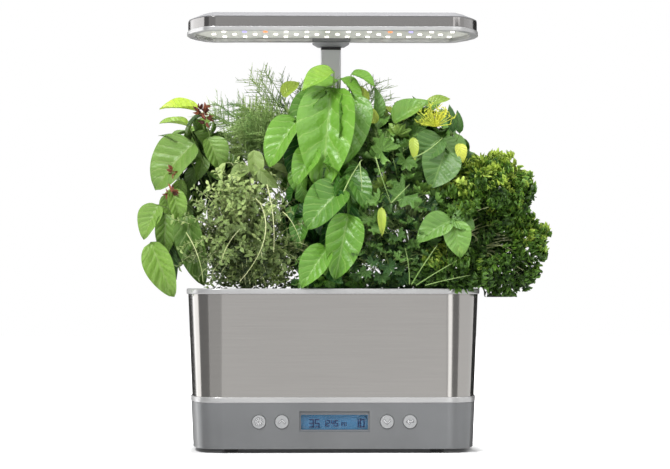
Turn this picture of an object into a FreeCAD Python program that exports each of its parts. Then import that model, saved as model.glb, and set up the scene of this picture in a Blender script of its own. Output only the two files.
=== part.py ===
import FreeCAD, Part
import math
import os
import random
from dataclasses import dataclass

Vector = FreeCAD.Vector

# Countertop herb garden. Millimetres, +Z up, -Y towards the person who uses it.
# The origin is on the table, under the middle of the base.

# Heights above the table
FOOT_HEIGHT = 3.7
BASE_TOP = 44.7
TRIM_TOP = 49.6
STEEL_TOP = 141.3
RIM_TOP = 146.2
DECK_TOP = 142.0
LAMP_BOTTOM = 377.2
BEZEL_TOP = 380.9
BAND_TOP = 389.9
LAMP_TOP = 394.4

# Base and bowl, in plan
RIM_HALF_WIDTH = 133.5
RIM_HALF_DEPTH = 76.0
SIDE_RADIUS = 247.0
CORNER_RADIUS = 30.0
STEEL_TOP_INSET = 1.5
STEEL_TAPER = 3.75
TRIM_INSET = 4.1
BASE_TOP_INSET = 4.35
BASE_BOTTOM_INSET = 6.2

# Flats that stand for round outlines
SIDE_FACETS = 6
CORNER_FACETS = 5
ROUND_FACETS = 2
BUTTON_SIDES = 20
SMALL_SIDES = 12
PIN_SIDES = 6

# Sheet and moulding thicknesses, and the gaps between pieces
STEEL_THICKNESS = 0.8
TANK_WALL = 2.2
TANK_FLOOR = 2.5
TANK_BOTTOM = 47.0
RIM_WIDTH = 5.5
TRIM_WIDTH = 5.0
HOUSING_WALL = 2.5
PLATE_THICKNESS = 2.5
DECK_THICKNESS = 2.5
DECK_GAP = 0.5
SKIN_GAP = 0.2
SLIDE_GAP = 0.1
LOOSE_GAP = 0.3

# Front panel
CONTROL_HEIGHT = 27.9
BUTTON_RADIUS = 6.0
BUTTON_GAP = 0.35
BUTTON_PROUD = 0.9
BUTTON_TRAVEL = 0.8
OUTER_BUTTON_X = 67.1
INNER_BUTTON_X = 46.7
DISPLAY_WIDTH = 62.0
DISPLAY_LOW = 19.0
DISPLAY_HIGH = 37.2
SCREEN_LOW = 20.8
SCREEN_HIGH = 34.1
DISPLAY_RECESS = 1.2
BOARD_FRONT = -58.5
BOARD_THICKNESS = 1.6
BOARD_HALF_WIDTH = 83.0
BOARD_LOW = 10.0
BOARD_HIGH = 40.5

# Pods: three across and two deep
POD_SPACING_X = 80.0
POD_Y = 34.0
POD_SIDES = 10
POD_TOP_RADIUS = 16.4
POD_BOTTOM_RADIUS = 12.5
POD_DEPTH = 50.0
POD_WALL = 1.2
POD_FLANGE_RADIUS = 19.0
POD_FLANGE = 1.5
POD_HOLE_RADIUS = 17.4
SLOT_WIDTH = 3.5
COLLAR_THICKNESS = 1.4
COLLAR_HOLE_RADIUS = 7.5
SPONGE_TOP = 141.0
FILL_PORT_X = 40.0
FILL_PORT_LENGTH = 36.0
FILL_PORT_WIDTH = 16.0
GAUGE_X = -40.0

# Telescoping mast, behind the bowl
MAST_Y = 88.0
TOWER_WIDTH = 26.0
TOWER_DEPTH = 19.0
TOWER_TOP = 190.0
MID_WIDTH = 19.0
MID_DEPTH = 14.0
MID_BOTTOM = 154.0
MID_TOP = 372.0
INNER_WIDTH = 14.0
INNER_DEPTH = 9.0
INNER_BOTTOM = 289.0
MAST_WALL = 1.5
LOWER_TRAVEL = 130.0
UPPER_TRAVEL = 45.0
NOTCH_STEP = 26.0
NOTCH_HEIGHT = 3.0
NOTCH_DEPTH = 0.8
DETENT_HEIGHT = 185.0
DETENT_RADIUS = 2.4

# Lamp
LAMP_HALF_WIDTH = 132.5
LAMP_HALF_DEPTH = 61.0
LAMP_MIDDLE_Y = 5.0
LAMP_SIDE_RADIUS = 105.0
LAMP_CORNER_RADIUS = 14.0
BEZEL_LIP = 1.0
BEZEL_WIDTH = 7.0
BAND_THICKNESS = 1.4
LED_BOARD_THICKNESS = 1.6
LED_LENGTH = 3.5
LED_WIDTH = 2.8
LED_HEIGHT = 0.9
LED_ROWS = 4
LEDS_PER_ROW = 12
LED_PITCH = 19.0
LED_ROW_PITCH = 24.0
BRACKET_TOP_WIDTH = 35.0
BRACKET_BOTTOM_WIDTH = 25.0
BRACKET_BACK = 101.0
BRACKET_FRONT = 70.0
BRACKET_BOTTOM = 375.0

# Pump, on the floor of the tank
PUMP_X = 96.0
PUMP_LENGTH = 38.0
PUMP_WIDTH = 36.0
PUMP_HEIGHT = 28.0
CHAMBER_RADIUS = 12.0
CHAMBER_HEIGHT = 9.0
BLADES = 6


@dataclass(frozen=True)
class Plan:
    """A plan outline with straight front and back, bowed sides and rounded corners."""

    half_width: float
    half_depth: float
    side_radius: float
    corner_radius: float
    middle_y: float = 0.0

    def inset(self, distance):
        """Return the outline drawn in by a distance all round."""
        return Plan(
            self.half_width - distance,
            self.half_depth - distance,
            self.side_radius - distance,
            self.corner_radius - distance,
            self.middle_y,
        )

    def corners(self, z):
        """Return the outline's points at one height, anticlockwise from the right side."""
        side_centre = self.half_width - self.side_radius
        corner_y = self.half_depth - self.corner_radius
        inner = self.side_radius - self.corner_radius
        corner_x = side_centre + math.sqrt(inner**2 - corner_y**2)
        turn = math.atan2(corner_y, corner_x - side_centre)
        quarter = []
        for step in range(SIDE_FACETS // 2):
            angle = turn * step / (SIDE_FACETS // 2)
            quarter.append((side_centre + self.side_radius * math.cos(angle),
                            self.side_radius * math.sin(angle)))
        for step in range(CORNER_FACETS + 1):
            angle = turn + (math.pi / 2 - turn) * step / CORNER_FACETS
            quarter.append((corner_x + self.corner_radius * math.cos(angle),
                            corner_y + self.corner_radius * math.sin(angle)))
        back = quarter + [(-x, y) for x, y in reversed(quarter)]
        front = [(x, -y) for x, y in reversed(back[1:-1])]
        return [Vector(x, self.middle_y + y, z) for x, y in back + front]

    def prism(self, low, high):
        """Return an upright solid of this outline."""
        return upright(self.corners(low), high - low)

    def ring(self, width, low, high):
        """Return an upright ring whose outside is this outline."""
        return self.prism(low, high).cut(self.inset(width).prism(low - 1, high + 1))


def closed(points):
    """Return a closed polygon through the points."""
    return Part.makePolygon(points + points[:1])


def upright(points, height):
    """Return an upright solid above a flat outline."""
    return Part.Face(closed(points)).extrude(Vector(0, 0, height))


def frustum(lower, upper):
    """Return a solid with flat sides between two outlines whose edges run alike."""
    count = len(lower)
    faces = [Part.Face(closed(lower[::-1])), Part.Face(closed(upper))]
    for number in range(count):
        after = (number + 1) % count
        side = [lower[number], lower[after], upper[after], upper[number]]
        faces.append(Part.Face(closed(side)))
    return Part.Solid(Part.Shell(faces))


def tapered(lower, low, upper, high):
    """Return a solid that runs from one plan outline to another."""
    return frustum(lower.corners(low), upper.corners(high))


RIM_PLAN = Plan(RIM_HALF_WIDTH, RIM_HALF_DEPTH, SIDE_RADIUS, CORNER_RADIUS)
LAMP_PLAN = Plan(
    LAMP_HALF_WIDTH, LAMP_HALF_DEPTH, LAMP_SIDE_RADIUS, LAMP_CORNER_RADIUS, LAMP_MIDDLE_Y
)


def steel_plan(z):
    """Return the outside of the steel wrap at a height: it narrows towards the bottom."""
    share = (STEEL_TOP - z) / (STEEL_TOP - TRIM_TOP)
    return RIM_PLAN.inset(STEEL_TOP_INSET + STEEL_TAPER * share)


def base_plan(z):
    """Return the outside of the base at a height."""
    share = (BASE_TOP - z) / (BASE_TOP - FOOT_HEIGHT)
    return RIM_PLAN.inset(BASE_TOP_INSET + (BASE_BOTTOM_INSET - BASE_TOP_INSET) * share)


def panel_y(z):
    """Return where the base's front face stands at a height."""
    return -base_plan(z).half_depth


def box(x_low, x_high, y_low, y_high, z_low, z_high):
    """Return a box between two corners."""
    corner = Vector(x_low, y_low, z_low)
    return Part.makeBox(x_high - x_low, y_high - y_low, z_high - z_low, corner)


def rounded_box(x_low, x_high, y_low, y_high, z_low, z_high, radius):
    """Return a box whose upright edges are rounded by a few flats."""
    points = []
    quarters = [(x_high, y_high, -1, -1, 0), (x_low, y_high, 1, -1, 1),
                (x_low, y_low, 1, 1, 2), (x_high, y_low, -1, 1, 3)]
    for x, y, inward_x, inward_y, quarter in quarters:
        for step in range(ROUND_FACETS + 1):
            angle = (quarter + step / ROUND_FACETS) * math.pi / 2
            points.append(Vector(x + radius * (inward_x + math.cos(angle)),
                                 y + radius * (inward_y + math.sin(angle)), z_low))
    return upright(points, z_high - z_low)


def mast_section(width, depth, low, high, radius):
    """Return an upright bar with rounded corners, centred on the mast."""
    half = depth / 2
    return rounded_box(-width / 2, width / 2, MAST_Y - half, MAST_Y + half, low, high, radius)


def polygon(radius, sides, x, y, z):
    """Return the corners of a level regular polygon."""
    angles = [2 * math.pi * (step + 0.5) / sides for step in range(sides)]
    return [Vector(x + radius * math.cos(angle), y + radius * math.sin(angle), z) for angle in angles]


def faceted(radius_low, radius_high, sides, x, y, low, high):
    """Return an upright, straight or tapered solid with flat sides."""
    return frustum(polygon(radius_low, sides, x, y, low), polygon(radius_high, sides, x, y, high))


def level_bar(radius_front, radius_back, sides, x, z, front, back):
    """Return a bar with flat sides that runs from front to back."""
    bar = faceted(radius_back, radius_front, sides, 0, 0, 0, back - front)
    bar.rotate(Vector(0, 0, 0), Vector(1, 0, 0), 90)
    bar.translate(Vector(x, back, z))
    return bar


def fuse(solids):
    """Return several overlapping solids as one."""
    return solids[0].multiFuse(solids[1:]).removeSplitter()


def screw(x, y, head_low, head_high, tip):
    """Return a pan head screw that points up from its head to its tip."""
    head = faceted(3.0, 3.0, PIN_SIDES, x, y, head_low, head_high)
    shank = faceted(1.5, 1.5, PIN_SIDES, x, y, head_high - 0.5, tip)
    return fuse([head, shank])


def pod_places():
    """Return the middles of the six pods, back row first, from left to right."""
    return [(column * POD_SPACING_X, row * POD_Y) for row in (1, -1) for column in (-1, 0, 1)]


BASE_SCREW_PLACES = [(sx * 104.0, sy * 44.0) for sx in (-1, 1) for sy in (-1, 1)]
TOWER_SCREW_X = (-6.0, 6.0)
PLATE_BOTTOM = FOOT_HEIGHT
PLATE_TOP = FOOT_HEIGHT + PLATE_THICKNESS
LOBE_HALF_WIDTH = 26.0
LOBE_FRONT = 60.0
LOBE_BACK = 103.0
LOBE_RADIUS = 12.0
JACK_X = 62.0
JACK_HEIGHT = 16.0
CONTACT_SPREAD = 6.0


def make_foot_pads():
    """Four rubber feet under the bottom plate."""
    pads = [faceted(6.2, 7.0, SMALL_SIDES, sx * 92.0, sy * 48.0, 0, FOOT_HEIGHT)
            for sx in (-1, 1) for sy in (-1, 1)]
    return Part.makeCompound(pads)


def make_base_housing():
    """The moulded base: an open-bottomed shell with the panel openings, ribs and mast foot."""
    outside = tapered(base_plan(FOOT_HEIGHT), FOOT_HEIGHT, base_plan(BASE_TOP), BASE_TOP)
    lobe = rounded_box(-LOBE_HALF_WIDTH, LOBE_HALF_WIDTH, LOBE_FRONT, LOBE_BACK,
                       FOOT_HEIGHT, BASE_TOP, LOBE_RADIUS)
    ceiling = BASE_TOP - HOUSING_WALL
    inside = tapered(base_plan(FOOT_HEIGHT - 1).inset(HOUSING_WALL), FOOT_HEIGHT - 1,
                     base_plan(ceiling).inset(HOUSING_WALL), ceiling)
    lobe_inside = rounded_box(-LOBE_HALF_WIDTH + HOUSING_WALL, LOBE_HALF_WIDTH - HOUSING_WALL,
                              LOBE_FRONT - 4, LOBE_BACK - HOUSING_WALL,
                              FOOT_HEIGHT - 1, ceiling, LOBE_RADIUS - HOUSING_WALL)
    shell = outside.fuse(lobe).cut(inside).cut(lobe_inside)
    added = []
    for x, y in BASE_SCREW_PLACES:
        added.append(faceted(5.0, 5.0, 8, x, y, PLATE_TOP, ceiling + 0.5))
    for side in (-1, 1):
        edge = side * BOARD_HALF_WIDTH
        added.append(box(min(edge - 1.5, edge + 1.5), max(edge - 1.5, edge + 1.5),
                         BOARD_FRONT - 3, BOARD_FRONT + BOARD_THICKNESS + 3,
                         30, ceiling + 0.5))
        added.append(box(side * 105 - 12, side * 105 + 12, -42, -39.5, BASE_TOP - 0.5, BASE_TOP + 1.9))
        added.append(box(side * 105 - 12, side * 105 + 12, 39.5, 42, BASE_TOP - 0.5, BASE_TOP + 1.9))
    shell = shell.multiFuse(added)
    removed = []
    for x in (-OUTER_BUTTON_X, -INNER_BUTTON_X, INNER_BUTTON_X, OUTER_BUTTON_X):
        hole = BUTTON_RADIUS + BUTTON_GAP
        removed.append(level_bar(hole, hole, BUTTON_SIDES, x, CONTROL_HEIGHT, -80, -64))
    removed.append(box(-DISPLAY_WIDTH / 2, DISPLAY_WIDTH / 2, -80, -64, DISPLAY_LOW, DISPLAY_HIGH))
    removed.append(mast_section(TOWER_WIDTH + 0.2, TOWER_DEPTH + 0.2, 30, BASE_TOP + 5, 3.1))
    removed.append(level_bar(4.2, 4.2, SMALL_SIDES, JACK_X, JACK_HEIGHT, 60, 80))
    removed.append(box(-BOARD_HALF_WIDTH - 0.1, BOARD_HALF_WIDTH + 0.1, BOARD_FRONT - 0.1,
                       BOARD_FRONT + BOARD_THICKNESS + 0.1, 5, BOARD_HIGH + 0.1))
    for x, y in BASE_SCREW_PLACES:
        removed.append(faceted(1.6, 1.6, 8, x, y, FOOT_HEIGHT, 26))
    for side in (-1, 1):
        removed.append(faceted(2.0, 2.0, 8, PUMP_X + side * CONTACT_SPREAD, 0, 40, BASE_TOP + 1))
    for removal in removed:
        shell = shell.cut(removal)
    return shell.removeSplitter()


def make_bottom_plate():
    """The plate that closes the base from below, with counterbored screw holes."""
    plate = base_plan(PLATE_BOTTOM).inset(HOUSING_WALL + SKIN_GAP).prism(PLATE_BOTTOM, PLATE_TOP)
    lobe = rounded_box(-LOBE_HALF_WIDTH + HOUSING_WALL + SKIN_GAP,
                       LOBE_HALF_WIDTH - HOUSING_WALL - SKIN_GAP,
                       LOBE_FRONT - 4, LOBE_BACK - HOUSING_WALL - SKIN_GAP,
                       PLATE_BOTTOM, PLATE_TOP, LOBE_RADIUS - HOUSING_WALL - SKIN_GAP)
    plate = plate.fuse(lobe)
    for x, y in BASE_SCREW_PLACES + [(x, MAST_Y) for x in TOWER_SCREW_X]:
        plate = plate.cut(faceted(3.3, 3.3, PIN_SIDES, x, y, PLATE_BOTTOM - 1, PLATE_BOTTOM + 1.5))
        plate = plate.cut(faceted(1.7, 1.7, 8, x, y, PLATE_BOTTOM, PLATE_TOP + 1))
    for number in range(-2, 3):
        plate = plate.cut(box(number * 12 - 2, number * 12 + 2, -14, 14,
                              PLATE_BOTTOM - 1, PLATE_TOP + 1))
    return plate.removeSplitter()


def make_base_screws():
    """Four screws that hold the plate to the posts inside the base."""
    return Part.makeCompound([screw(x, y, PLATE_BOTTOM + 0.2, PLATE_BOTTOM + 1.4, 24)
                              for x, y in BASE_SCREW_PLACES])


def make_tower_screws():
    """Two screws that hold the mast's foot to the bottom plate."""
    return Part.makeCompound([screw(x, MAST_Y, PLATE_BOTTOM + 0.2, PLATE_BOTTOM + 1.4, 16)
                              for x in TOWER_SCREW_X])


FLANGE_FRONT = -base_plan(CONTROL_HEIGHT - 8).half_depth + HOUSING_WALL + 0.15
FLANGE_THICKNESS = 1.2


def make_button(x):
    """A round cap with a keyed flange behind the panel and a stem that meets its switch."""
    front = panel_y(CONTROL_HEIGHT) - BUTTON_PROUD
    flange_back = FLANGE_FRONT + FLANGE_THICKNESS
    switch_top = BOARD_FRONT - 3.6
    cap = level_bar(BUTTON_RADIUS, BUTTON_RADIUS, BUTTON_SIDES, x, CONTROL_HEIGHT,
                    front, FLANGE_FRONT + 0.5)
    flange = box(x - 8, x + 8, FLANGE_FRONT, flange_back, CONTROL_HEIGHT - 7, CONTROL_HEIGHT + 7)
    stem = box(x - 1.5, x + 1.5, flange_back - 0.5, switch_top - BUTTON_TRAVEL - 0.1,
               CONTROL_HEIGHT - 1.5, CONTROL_HEIGHT + 1.5)
    return fuse([cap, flange, stem])


def make_display_bezel():
    """The frame set into the panel opening, held by a flange behind the wall."""
    face = panel_y(CONTROL_HEIGHT) + DISPLAY_RECESS
    back = FLANGE_FRONT + FLANGE_THICKNESS
    half = DISPLAY_WIDTH / 2 - SLIDE_GAP
    frame = box(-half, half, face, back, DISPLAY_LOW + SLIDE_GAP, DISPLAY_HIGH - SLIDE_GAP)
    flange = box(-half - 3, half + 3, FLANGE_FRONT, back, DISPLAY_LOW - 2, DISPLAY_HIGH + 2)
    opening = box(-half + 1.2, half - 1.2, face - 1, back + 1, SCREEN_LOW, SCREEN_HIGH)
    return frame.fuse(flange).cut(opening).removeSplitter()


def make_display_window():
    """The clear window behind the frame."""
    front = FLANGE_FRONT + FLANGE_THICKNESS
    return box(-31, 31, front, front + 0.8, SCREEN_LOW - 1, SCREEN_HIGH + 1)


def make_lcd_panel():
    """The screen, with the strip that joins it to the control board."""
    front = FLANGE_FRONT + FLANGE_THICKNESS + 0.8
    panel = box(-31, 31, front, front + 2.4, SCREEN_LOW - 2, SCREEN_HIGH + 2)
    strip = box(-28, 28, front + 2, BOARD_FRONT, SCREEN_HIGH, SCREEN_HIGH + 2)
    return fuse([panel, strip])


def make_control_board():
    """The upright circuit board, with the chip and connector on its back."""
    back = BOARD_FRONT + BOARD_THICKNESS
    board = box(-BOARD_HALF_WIDTH, BOARD_HALF_WIDTH, BOARD_FRONT, back, BOARD_LOW, BOARD_HIGH)
    chip = box(-8, 8, back - 0.2, back + 1.4, 18, 30)
    connector = box(24, 40, back - 0.2, back + 6, 14, 21)
    return fuse([board, chip, connector])


def make_tact_switches():
    """Four small switches on the board, one behind each button."""
    switches = []
    for x in (-OUTER_BUTTON_X, -INNER_BUTTON_X, INNER_BUTTON_X, OUTER_BUTTON_X):
        body = box(x - 3, x + 3, BOARD_FRONT - 3.2, BOARD_FRONT, CONTROL_HEIGHT - 3, CONTROL_HEIGHT + 3)
        tip = box(x - 1.5, x + 1.5, BOARD_FRONT - 3.6, BOARD_FRONT - 3,
                  CONTROL_HEIGHT - 1.5, CONTROL_HEIGHT + 1.5)
        switches.append(fuse([body, tip]))
    return Part.makeCompound(switches)


def make_dc_jack():
    """The power inlet in the back wall, with its centre pin."""
    wall = base_plan(JACK_HEIGHT).half_depth
    body = box(JACK_X - 5, JACK_X + 5, wall - 15, wall - HOUSING_WALL - 0.6,
               JACK_HEIGHT - 5, JACK_HEIGHT + 5)
    barrel = level_bar(4.0, 4.0, SMALL_SIDES, JACK_X, JACK_HEIGHT, wall - 5, wall)
    bore = level_bar(2.9, 2.9, SMALL_SIDES, JACK_X, JACK_HEIGHT, wall - 10, wall + 1)
    pin = level_bar(1.05, 1.05, PIN_SIDES, JACK_X, JACK_HEIGHT, wall - 11, wall - 1.5)
    return fuse([body, barrel]).cut(bore).fuse(pin).removeSplitter()


def make_base_contacts():
    """Two spring pins in a carrier that feed the pump through the bowl's floor."""
    carrier = box(PUMP_X - 12, PUMP_X + 12, -6, 6, 36, BASE_TOP - HOUSING_WALL)
    pins = [faceted(1.6, 1.6, 8, PUMP_X + side * CONTACT_SPREAD, 0, 38, TANK_BOTTOM - 0.3)
            for side in (-1, 1)]
    return fuse([carrier] + pins)


def make_bowl_contacts():
    """Two contact pads that pass through the tank's floor."""
    return Part.makeCompound([
        faceted(2.4, 2.4, 8, PUMP_X + side * CONTACT_SPREAD, 0, TANK_BOTTOM - 0.1,
                TANK_BOTTOM + TANK_FLOOR)
        for side in (-1, 1)])


def make_tank():
    """The bowl's inner tank, with blocks inside its rim that carry the deck."""
    top = STEEL_TOP - 0.1
    gap = STEEL_THICKNESS + SKIN_GAP
    outside = tapered(steel_plan(TANK_BOTTOM).inset(gap), TANK_BOTTOM, steel_plan(top).inset(gap), top)
    floor = TANK_BOTTOM + TANK_FLOOR
    inset = gap + TANK_WALL
    inside = tapered(steel_plan(floor).inset(inset), floor, steel_plan(top + 1).inset(inset), top + 1)
    tank = outside.cut(inside)
    deck_bottom = DECK_TOP - DECK_THICKNESS
    reach_x = steel_plan(deck_bottom).half_width - inset
    reach_y = steel_plan(deck_bottom).half_depth - inset
    blocks = [box(side * reach_x - 4, side * reach_x + 4, -12, 12, deck_bottom - 10, deck_bottom)
              for side in (-1, 1)]
    for side in (-1, 1):
        for x in (-60, 0, 60):
            blocks.append(box(x - 10, x + 10, side * reach_y - 3, side * reach_y + 3,
                              deck_bottom - 10, deck_bottom))
    kept = tapered(steel_plan(floor).inset(inset - 0.5), floor, steel_plan(top).inset(inset - 0.5), top)
    tank = tank.multiFuse([block.common(kept) for block in blocks])
    for side in (-1, 1):
        tank = tank.cut(faceted(2.5, 2.5, 8, PUMP_X + side * CONTACT_SPREAD, 0,
                                TANK_BOTTOM - 1, floor + 1))
    return tank.removeSplitter()


def make_steel_wrap():
    """The brushed steel sleeve round the tank, narrower at the bottom."""
    top = STEEL_TOP - 0.1
    outside = tapered(steel_plan(TRIM_TOP), TRIM_TOP, steel_plan(top), top)
    inside = tapered(steel_plan(TRIM_TOP - 1).inset(STEEL_THICKNESS), TRIM_TOP - 1,
                     steel_plan(top + 1).inset(STEEL_THICKNESS), top + 1)
    return outside.cut(inside)


def make_top_rim():
    """The rim round the bowl's mouth, which covers the edges of the tank and the steel."""
    return RIM_PLAN.ring(RIM_WIDTH, STEEL_TOP, RIM_TOP)


def make_bottom_trim():
    """The bright band between the steel and the base, with a step that the tank stands in."""
    plan = RIM_PLAN.inset(TRIM_INSET)
    ring = plan.ring(TRIM_WIDTH, BASE_TOP, TRIM_TOP)
    seat = steel_plan(TANK_BOTTOM).inset(STEEL_THICKNESS)
    return ring.cut(seat.prism(TANK_BOTTOM, TRIM_TOP + 1))


PUMP_BOTTOM = TANK_BOTTOM + TANK_FLOOR
CHAMBER_BOTTOM = PUMP_BOTTOM + 8.0


def make_pump_housing():
    """The pump's body: a motor block with a round impeller chamber and an outlet spout."""
    half_length, half_width = PUMP_LENGTH / 2, PUMP_WIDTH / 2
    body = rounded_box(PUMP_X - half_length, PUMP_X + half_length, -half_width, half_width,
                       PUMP_BOTTOM, PUMP_BOTTOM + PUMP_HEIGHT, 4)
    spout = faceted(4.5, 4.0, PIN_SIDES, PUMP_X - 11, 8, PUMP_BOTTOM + PUMP_HEIGHT - 1,
                    PUMP_BOTTOM + PUMP_HEIGHT + 12)
    chamber = faceted(CHAMBER_RADIUS, CHAMBER_RADIUS, SMALL_SIDES, PUMP_X, 0, CHAMBER_BOTTOM,
                      CHAMBER_BOTTOM + CHAMBER_HEIGHT)
    inlet = box(PUMP_X - 5, PUMP_X + 5, -half_width - 1, 0, CHAMBER_BOTTOM + 2, CHAMBER_BOTTOM + 7)
    riser = faceted(2.8, 2.4, PIN_SIDES, PUMP_X - 11, 8, CHAMBER_BOTTOM + 2,
                    PUMP_BOTTOM + PUMP_HEIGHT + 13)
    return fuse([body, spout]).cut(chamber).cut(inlet).cut(riser)


def make_pump_impeller():
    """The impeller: a hub with straight blades, on an upright axis."""
    low, high = CHAMBER_BOTTOM + 0.5, CHAMBER_BOTTOM + CHAMBER_HEIGHT - 0.5
    hub = Part.makeCylinder(4.0, high - low, Vector(PUMP_X, 0, low))
    blades = []
    for number in range(BLADES):
        blade = box(PUMP_X + 3, PUMP_X + CHAMBER_RADIUS - 0.8, -0.7, 0.7, low, high)
        blade.rotate(Vector(PUMP_X, 0, 0), Vector(0, 0, 1), number * 360 / BLADES)
        blades.append(blade)
    return fuse([hub] + blades)


def make_pump_filter():
    """The foam pad between the pump's inlet and its cover."""
    front = -PUMP_WIDTH / 2
    return box(PUMP_X - 12, PUMP_X + 12, front - 6, front, PUMP_BOTTOM + 3, PUMP_BOTTOM + 23)


def make_pump_cover():
    """The slotted cover that holds the foam against the pump."""
    front = -PUMP_WIDTH / 2
    cover = box(PUMP_X - 14.5, PUMP_X + 14.5, front - 8, front, PUMP_BOTTOM, PUMP_BOTTOM + 25.5)
    cover = cover.cut(box(PUMP_X - 12.2, PUMP_X + 12.2, front - 6.2, front + 1,
                          PUMP_BOTTOM + 2.8, PUMP_BOTTOM + 23.2))
    for number in range(-2, 3):
        cover = cover.cut(box(PUMP_X + number * 4.6 - 1.1, PUMP_X + number * 4.6 + 1.1,
                              front - 9, front - 5, PUMP_BOTTOM + 5, PUMP_BOTTOM + 21))
    return cover


def make_deck():
    """The lid of the tank, with six pod openings, the fill port and the gauge hole."""
    deck = RIM_PLAN.inset(RIM_WIDTH + DECK_GAP).prism(DECK_TOP - DECK_THICKNESS, DECK_TOP)
    for x, y in pod_places():
        deck = deck.cut(faceted(POD_HOLE_RADIUS, POD_HOLE_RADIUS, POD_SIDES, x, y,
                                DECK_TOP - DECK_THICKNESS - 1, DECK_TOP + 1))
    port_half, port_width = FILL_PORT_LENGTH / 2, FILL_PORT_WIDTH / 2
    collar = rounded_box(FILL_PORT_X - port_half - 2, FILL_PORT_X + port_half + 2,
                         -port_width - 2, port_width + 2, DECK_TOP - 8, DECK_TOP - 0.5, 5)
    port = rounded_box(FILL_PORT_X - port_half, FILL_PORT_X + port_half,
                       -port_width, port_width, DECK_TOP - 9, DECK_TOP + 1, 3)
    guide = faceted(6.0, 6.0, PIN_SIDES, GAUGE_X, 0, DECK_TOP - 12, DECK_TOP - 0.5)
    hole = faceted(3.4, 3.4, PIN_SIDES, GAUGE_X, 0, DECK_TOP - 13, DECK_TOP + 1)
    deck = deck.multiFuse([collar, guide])
    return deck.cut(port).cut(hole).removeSplitter()


def make_gauge_float():
    """The water gauge: a float on a stem, with a cap that rests on the deck when empty."""
    tub = faceted(9.0, 9.0, 12, GAUGE_X, 0, 60, 74)
    stem = faceted(3.0, 3.0, PIN_SIDES, GAUGE_X, 0, 73, DECK_TOP + 2)
    cap = faceted(5.0, 3.5, 12, GAUGE_X, 0, DECK_TOP + 0.1, DECK_TOP + 4)
    return fuse([tub, stem, cap])


def make_basket(x, y):
    """A tapered net cup with four upright slots and a flange that hangs on the deck."""
    bottom = DECK_TOP - POD_DEPTH
    floor = bottom + 1.5
    inner_top, inner_bottom = POD_TOP_RADIUS - POD_WALL, POD_BOTTOM_RADIUS - POD_WALL
    cup = faceted(POD_BOTTOM_RADIUS, POD_TOP_RADIUS, POD_SIDES, x, y, bottom, DECK_TOP + 0.5)
    flange = faceted(POD_FLANGE_RADIUS, POD_FLANGE_RADIUS, POD_SIDES, x, y,
                     DECK_TOP, DECK_TOP + POD_FLANGE)
    inside = faceted(inner_bottom, inner_top, POD_SIDES, x, y, floor, DECK_TOP + POD_FLANGE)
    basket = fuse([cup, flange]).cut(inside)
    for turn in (0, 90):
        slot = box(x - POD_TOP_RADIUS - 1, x + POD_TOP_RADIUS + 1, y - SLOT_WIDTH / 2,
                   y + SLOT_WIDTH / 2, bottom + 6, DECK_TOP - 10)
        slot.rotate(Vector(x, y, 0), Vector(0, 0, 1), turn)
        basket = basket.cut(slot)
    return basket


def make_sponge(x, y):
    """The plug of growing sponge inside one basket."""
    bottom = DECK_TOP - POD_DEPTH + 1.5
    share = (SPONGE_TOP - bottom) / POD_DEPTH
    top_radius = POD_BOTTOM_RADIUS + (POD_TOP_RADIUS - POD_BOTTOM_RADIUS) * share
    gap = POD_WALL + LOOSE_GAP
    return faceted(POD_BOTTOM_RADIUS - gap, top_radius - gap, POD_SIDES, x, y,
                   bottom + 0.2, SPONGE_TOP)


def make_collar(x, y):
    """The round disc on one pod, with a hole that the herb grows through."""
    low = DECK_TOP + POD_FLANGE
    disc = faceted(POD_FLANGE_RADIUS - 0.4, POD_FLANGE_RADIUS - 1.0, POD_SIDES, x, y,
                   low, low + COLLAR_THICKNESS)
    return disc.cut(faceted(COLLAR_HOLE_RADIUS, COLLAR_HOLE_RADIUS, 8, x, y, low - 1, low + 3))


def make_tower():
    """The fixed outer section of the mast, with the hole for the detent plunger."""
    tower = mast_section(TOWER_WIDTH, TOWER_DEPTH, PLATE_TOP, TOWER_TOP, 3)
    bore = mast_section(TOWER_WIDTH - 2 * MAST_WALL, TOWER_DEPTH - 2 * MAST_WALL,
                        PLATE_TOP - 1, TOWER_TOP + 1, 1.5)
    hole = DETENT_RADIUS + 0.2
    plunger_hole = level_bar(hole, hole, PIN_SIDES, 0, DETENT_HEIGHT, MAST_Y + 6, MAST_Y + 12)
    return tower.cut(bore).cut(plunger_hole)


def make_tower_foot():
    """The block inside the bottom of the tower that its two screws bite into."""
    foot = mast_section(TOWER_WIDTH - 2 * MAST_WALL - 0.2, TOWER_DEPTH - 2 * MAST_WALL - 0.2,
                        PLATE_TOP, PLATE_TOP + 12, 1.4)
    for x in TOWER_SCREW_X:
        foot = foot.cut(faceted(1.6, 1.6, 8, x, MAST_Y, PLATE_TOP - 1, PLATE_TOP + 10.5))
    return foot


SHOE_HEIGHT = 12.0
BUSH_LOW = MID_BOTTOM + SHOE_HEIGHT + 0.3


def make_tower_bush():
    """The guide bush in the tower's mouth; its skirt stops the middle section's shoe."""
    cap = mast_section(TOWER_WIDTH + 2, TOWER_DEPTH + 2, TOWER_TOP, TOWER_TOP + 3, 4)
    skirt = mast_section(TOWER_WIDTH - 2 * MAST_WALL - 0.1, TOWER_DEPTH - 2 * MAST_WALL - 0.1,
                         BUSH_LOW, TOWER_TOP + 0.5, 1.4)
    way = mast_section(MID_WIDTH + 2 * SLIDE_GAP, MID_DEPTH + 2 * SLIDE_GAP,
                       BUSH_LOW - 1, TOWER_TOP + 4, 2.6)
    hole = DETENT_RADIUS + 0.2
    plunger_hole = level_bar(hole, hole, PIN_SIDES, 0, DETENT_HEIGHT, MAST_Y + 5, MAST_Y + 12)
    return fuse([cap, skirt]).cut(way).cut(plunger_hole)


TOWER_BACK = MAST_Y + TOWER_DEPTH / 2
MID_BACK = MAST_Y + MID_DEPTH / 2


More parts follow.
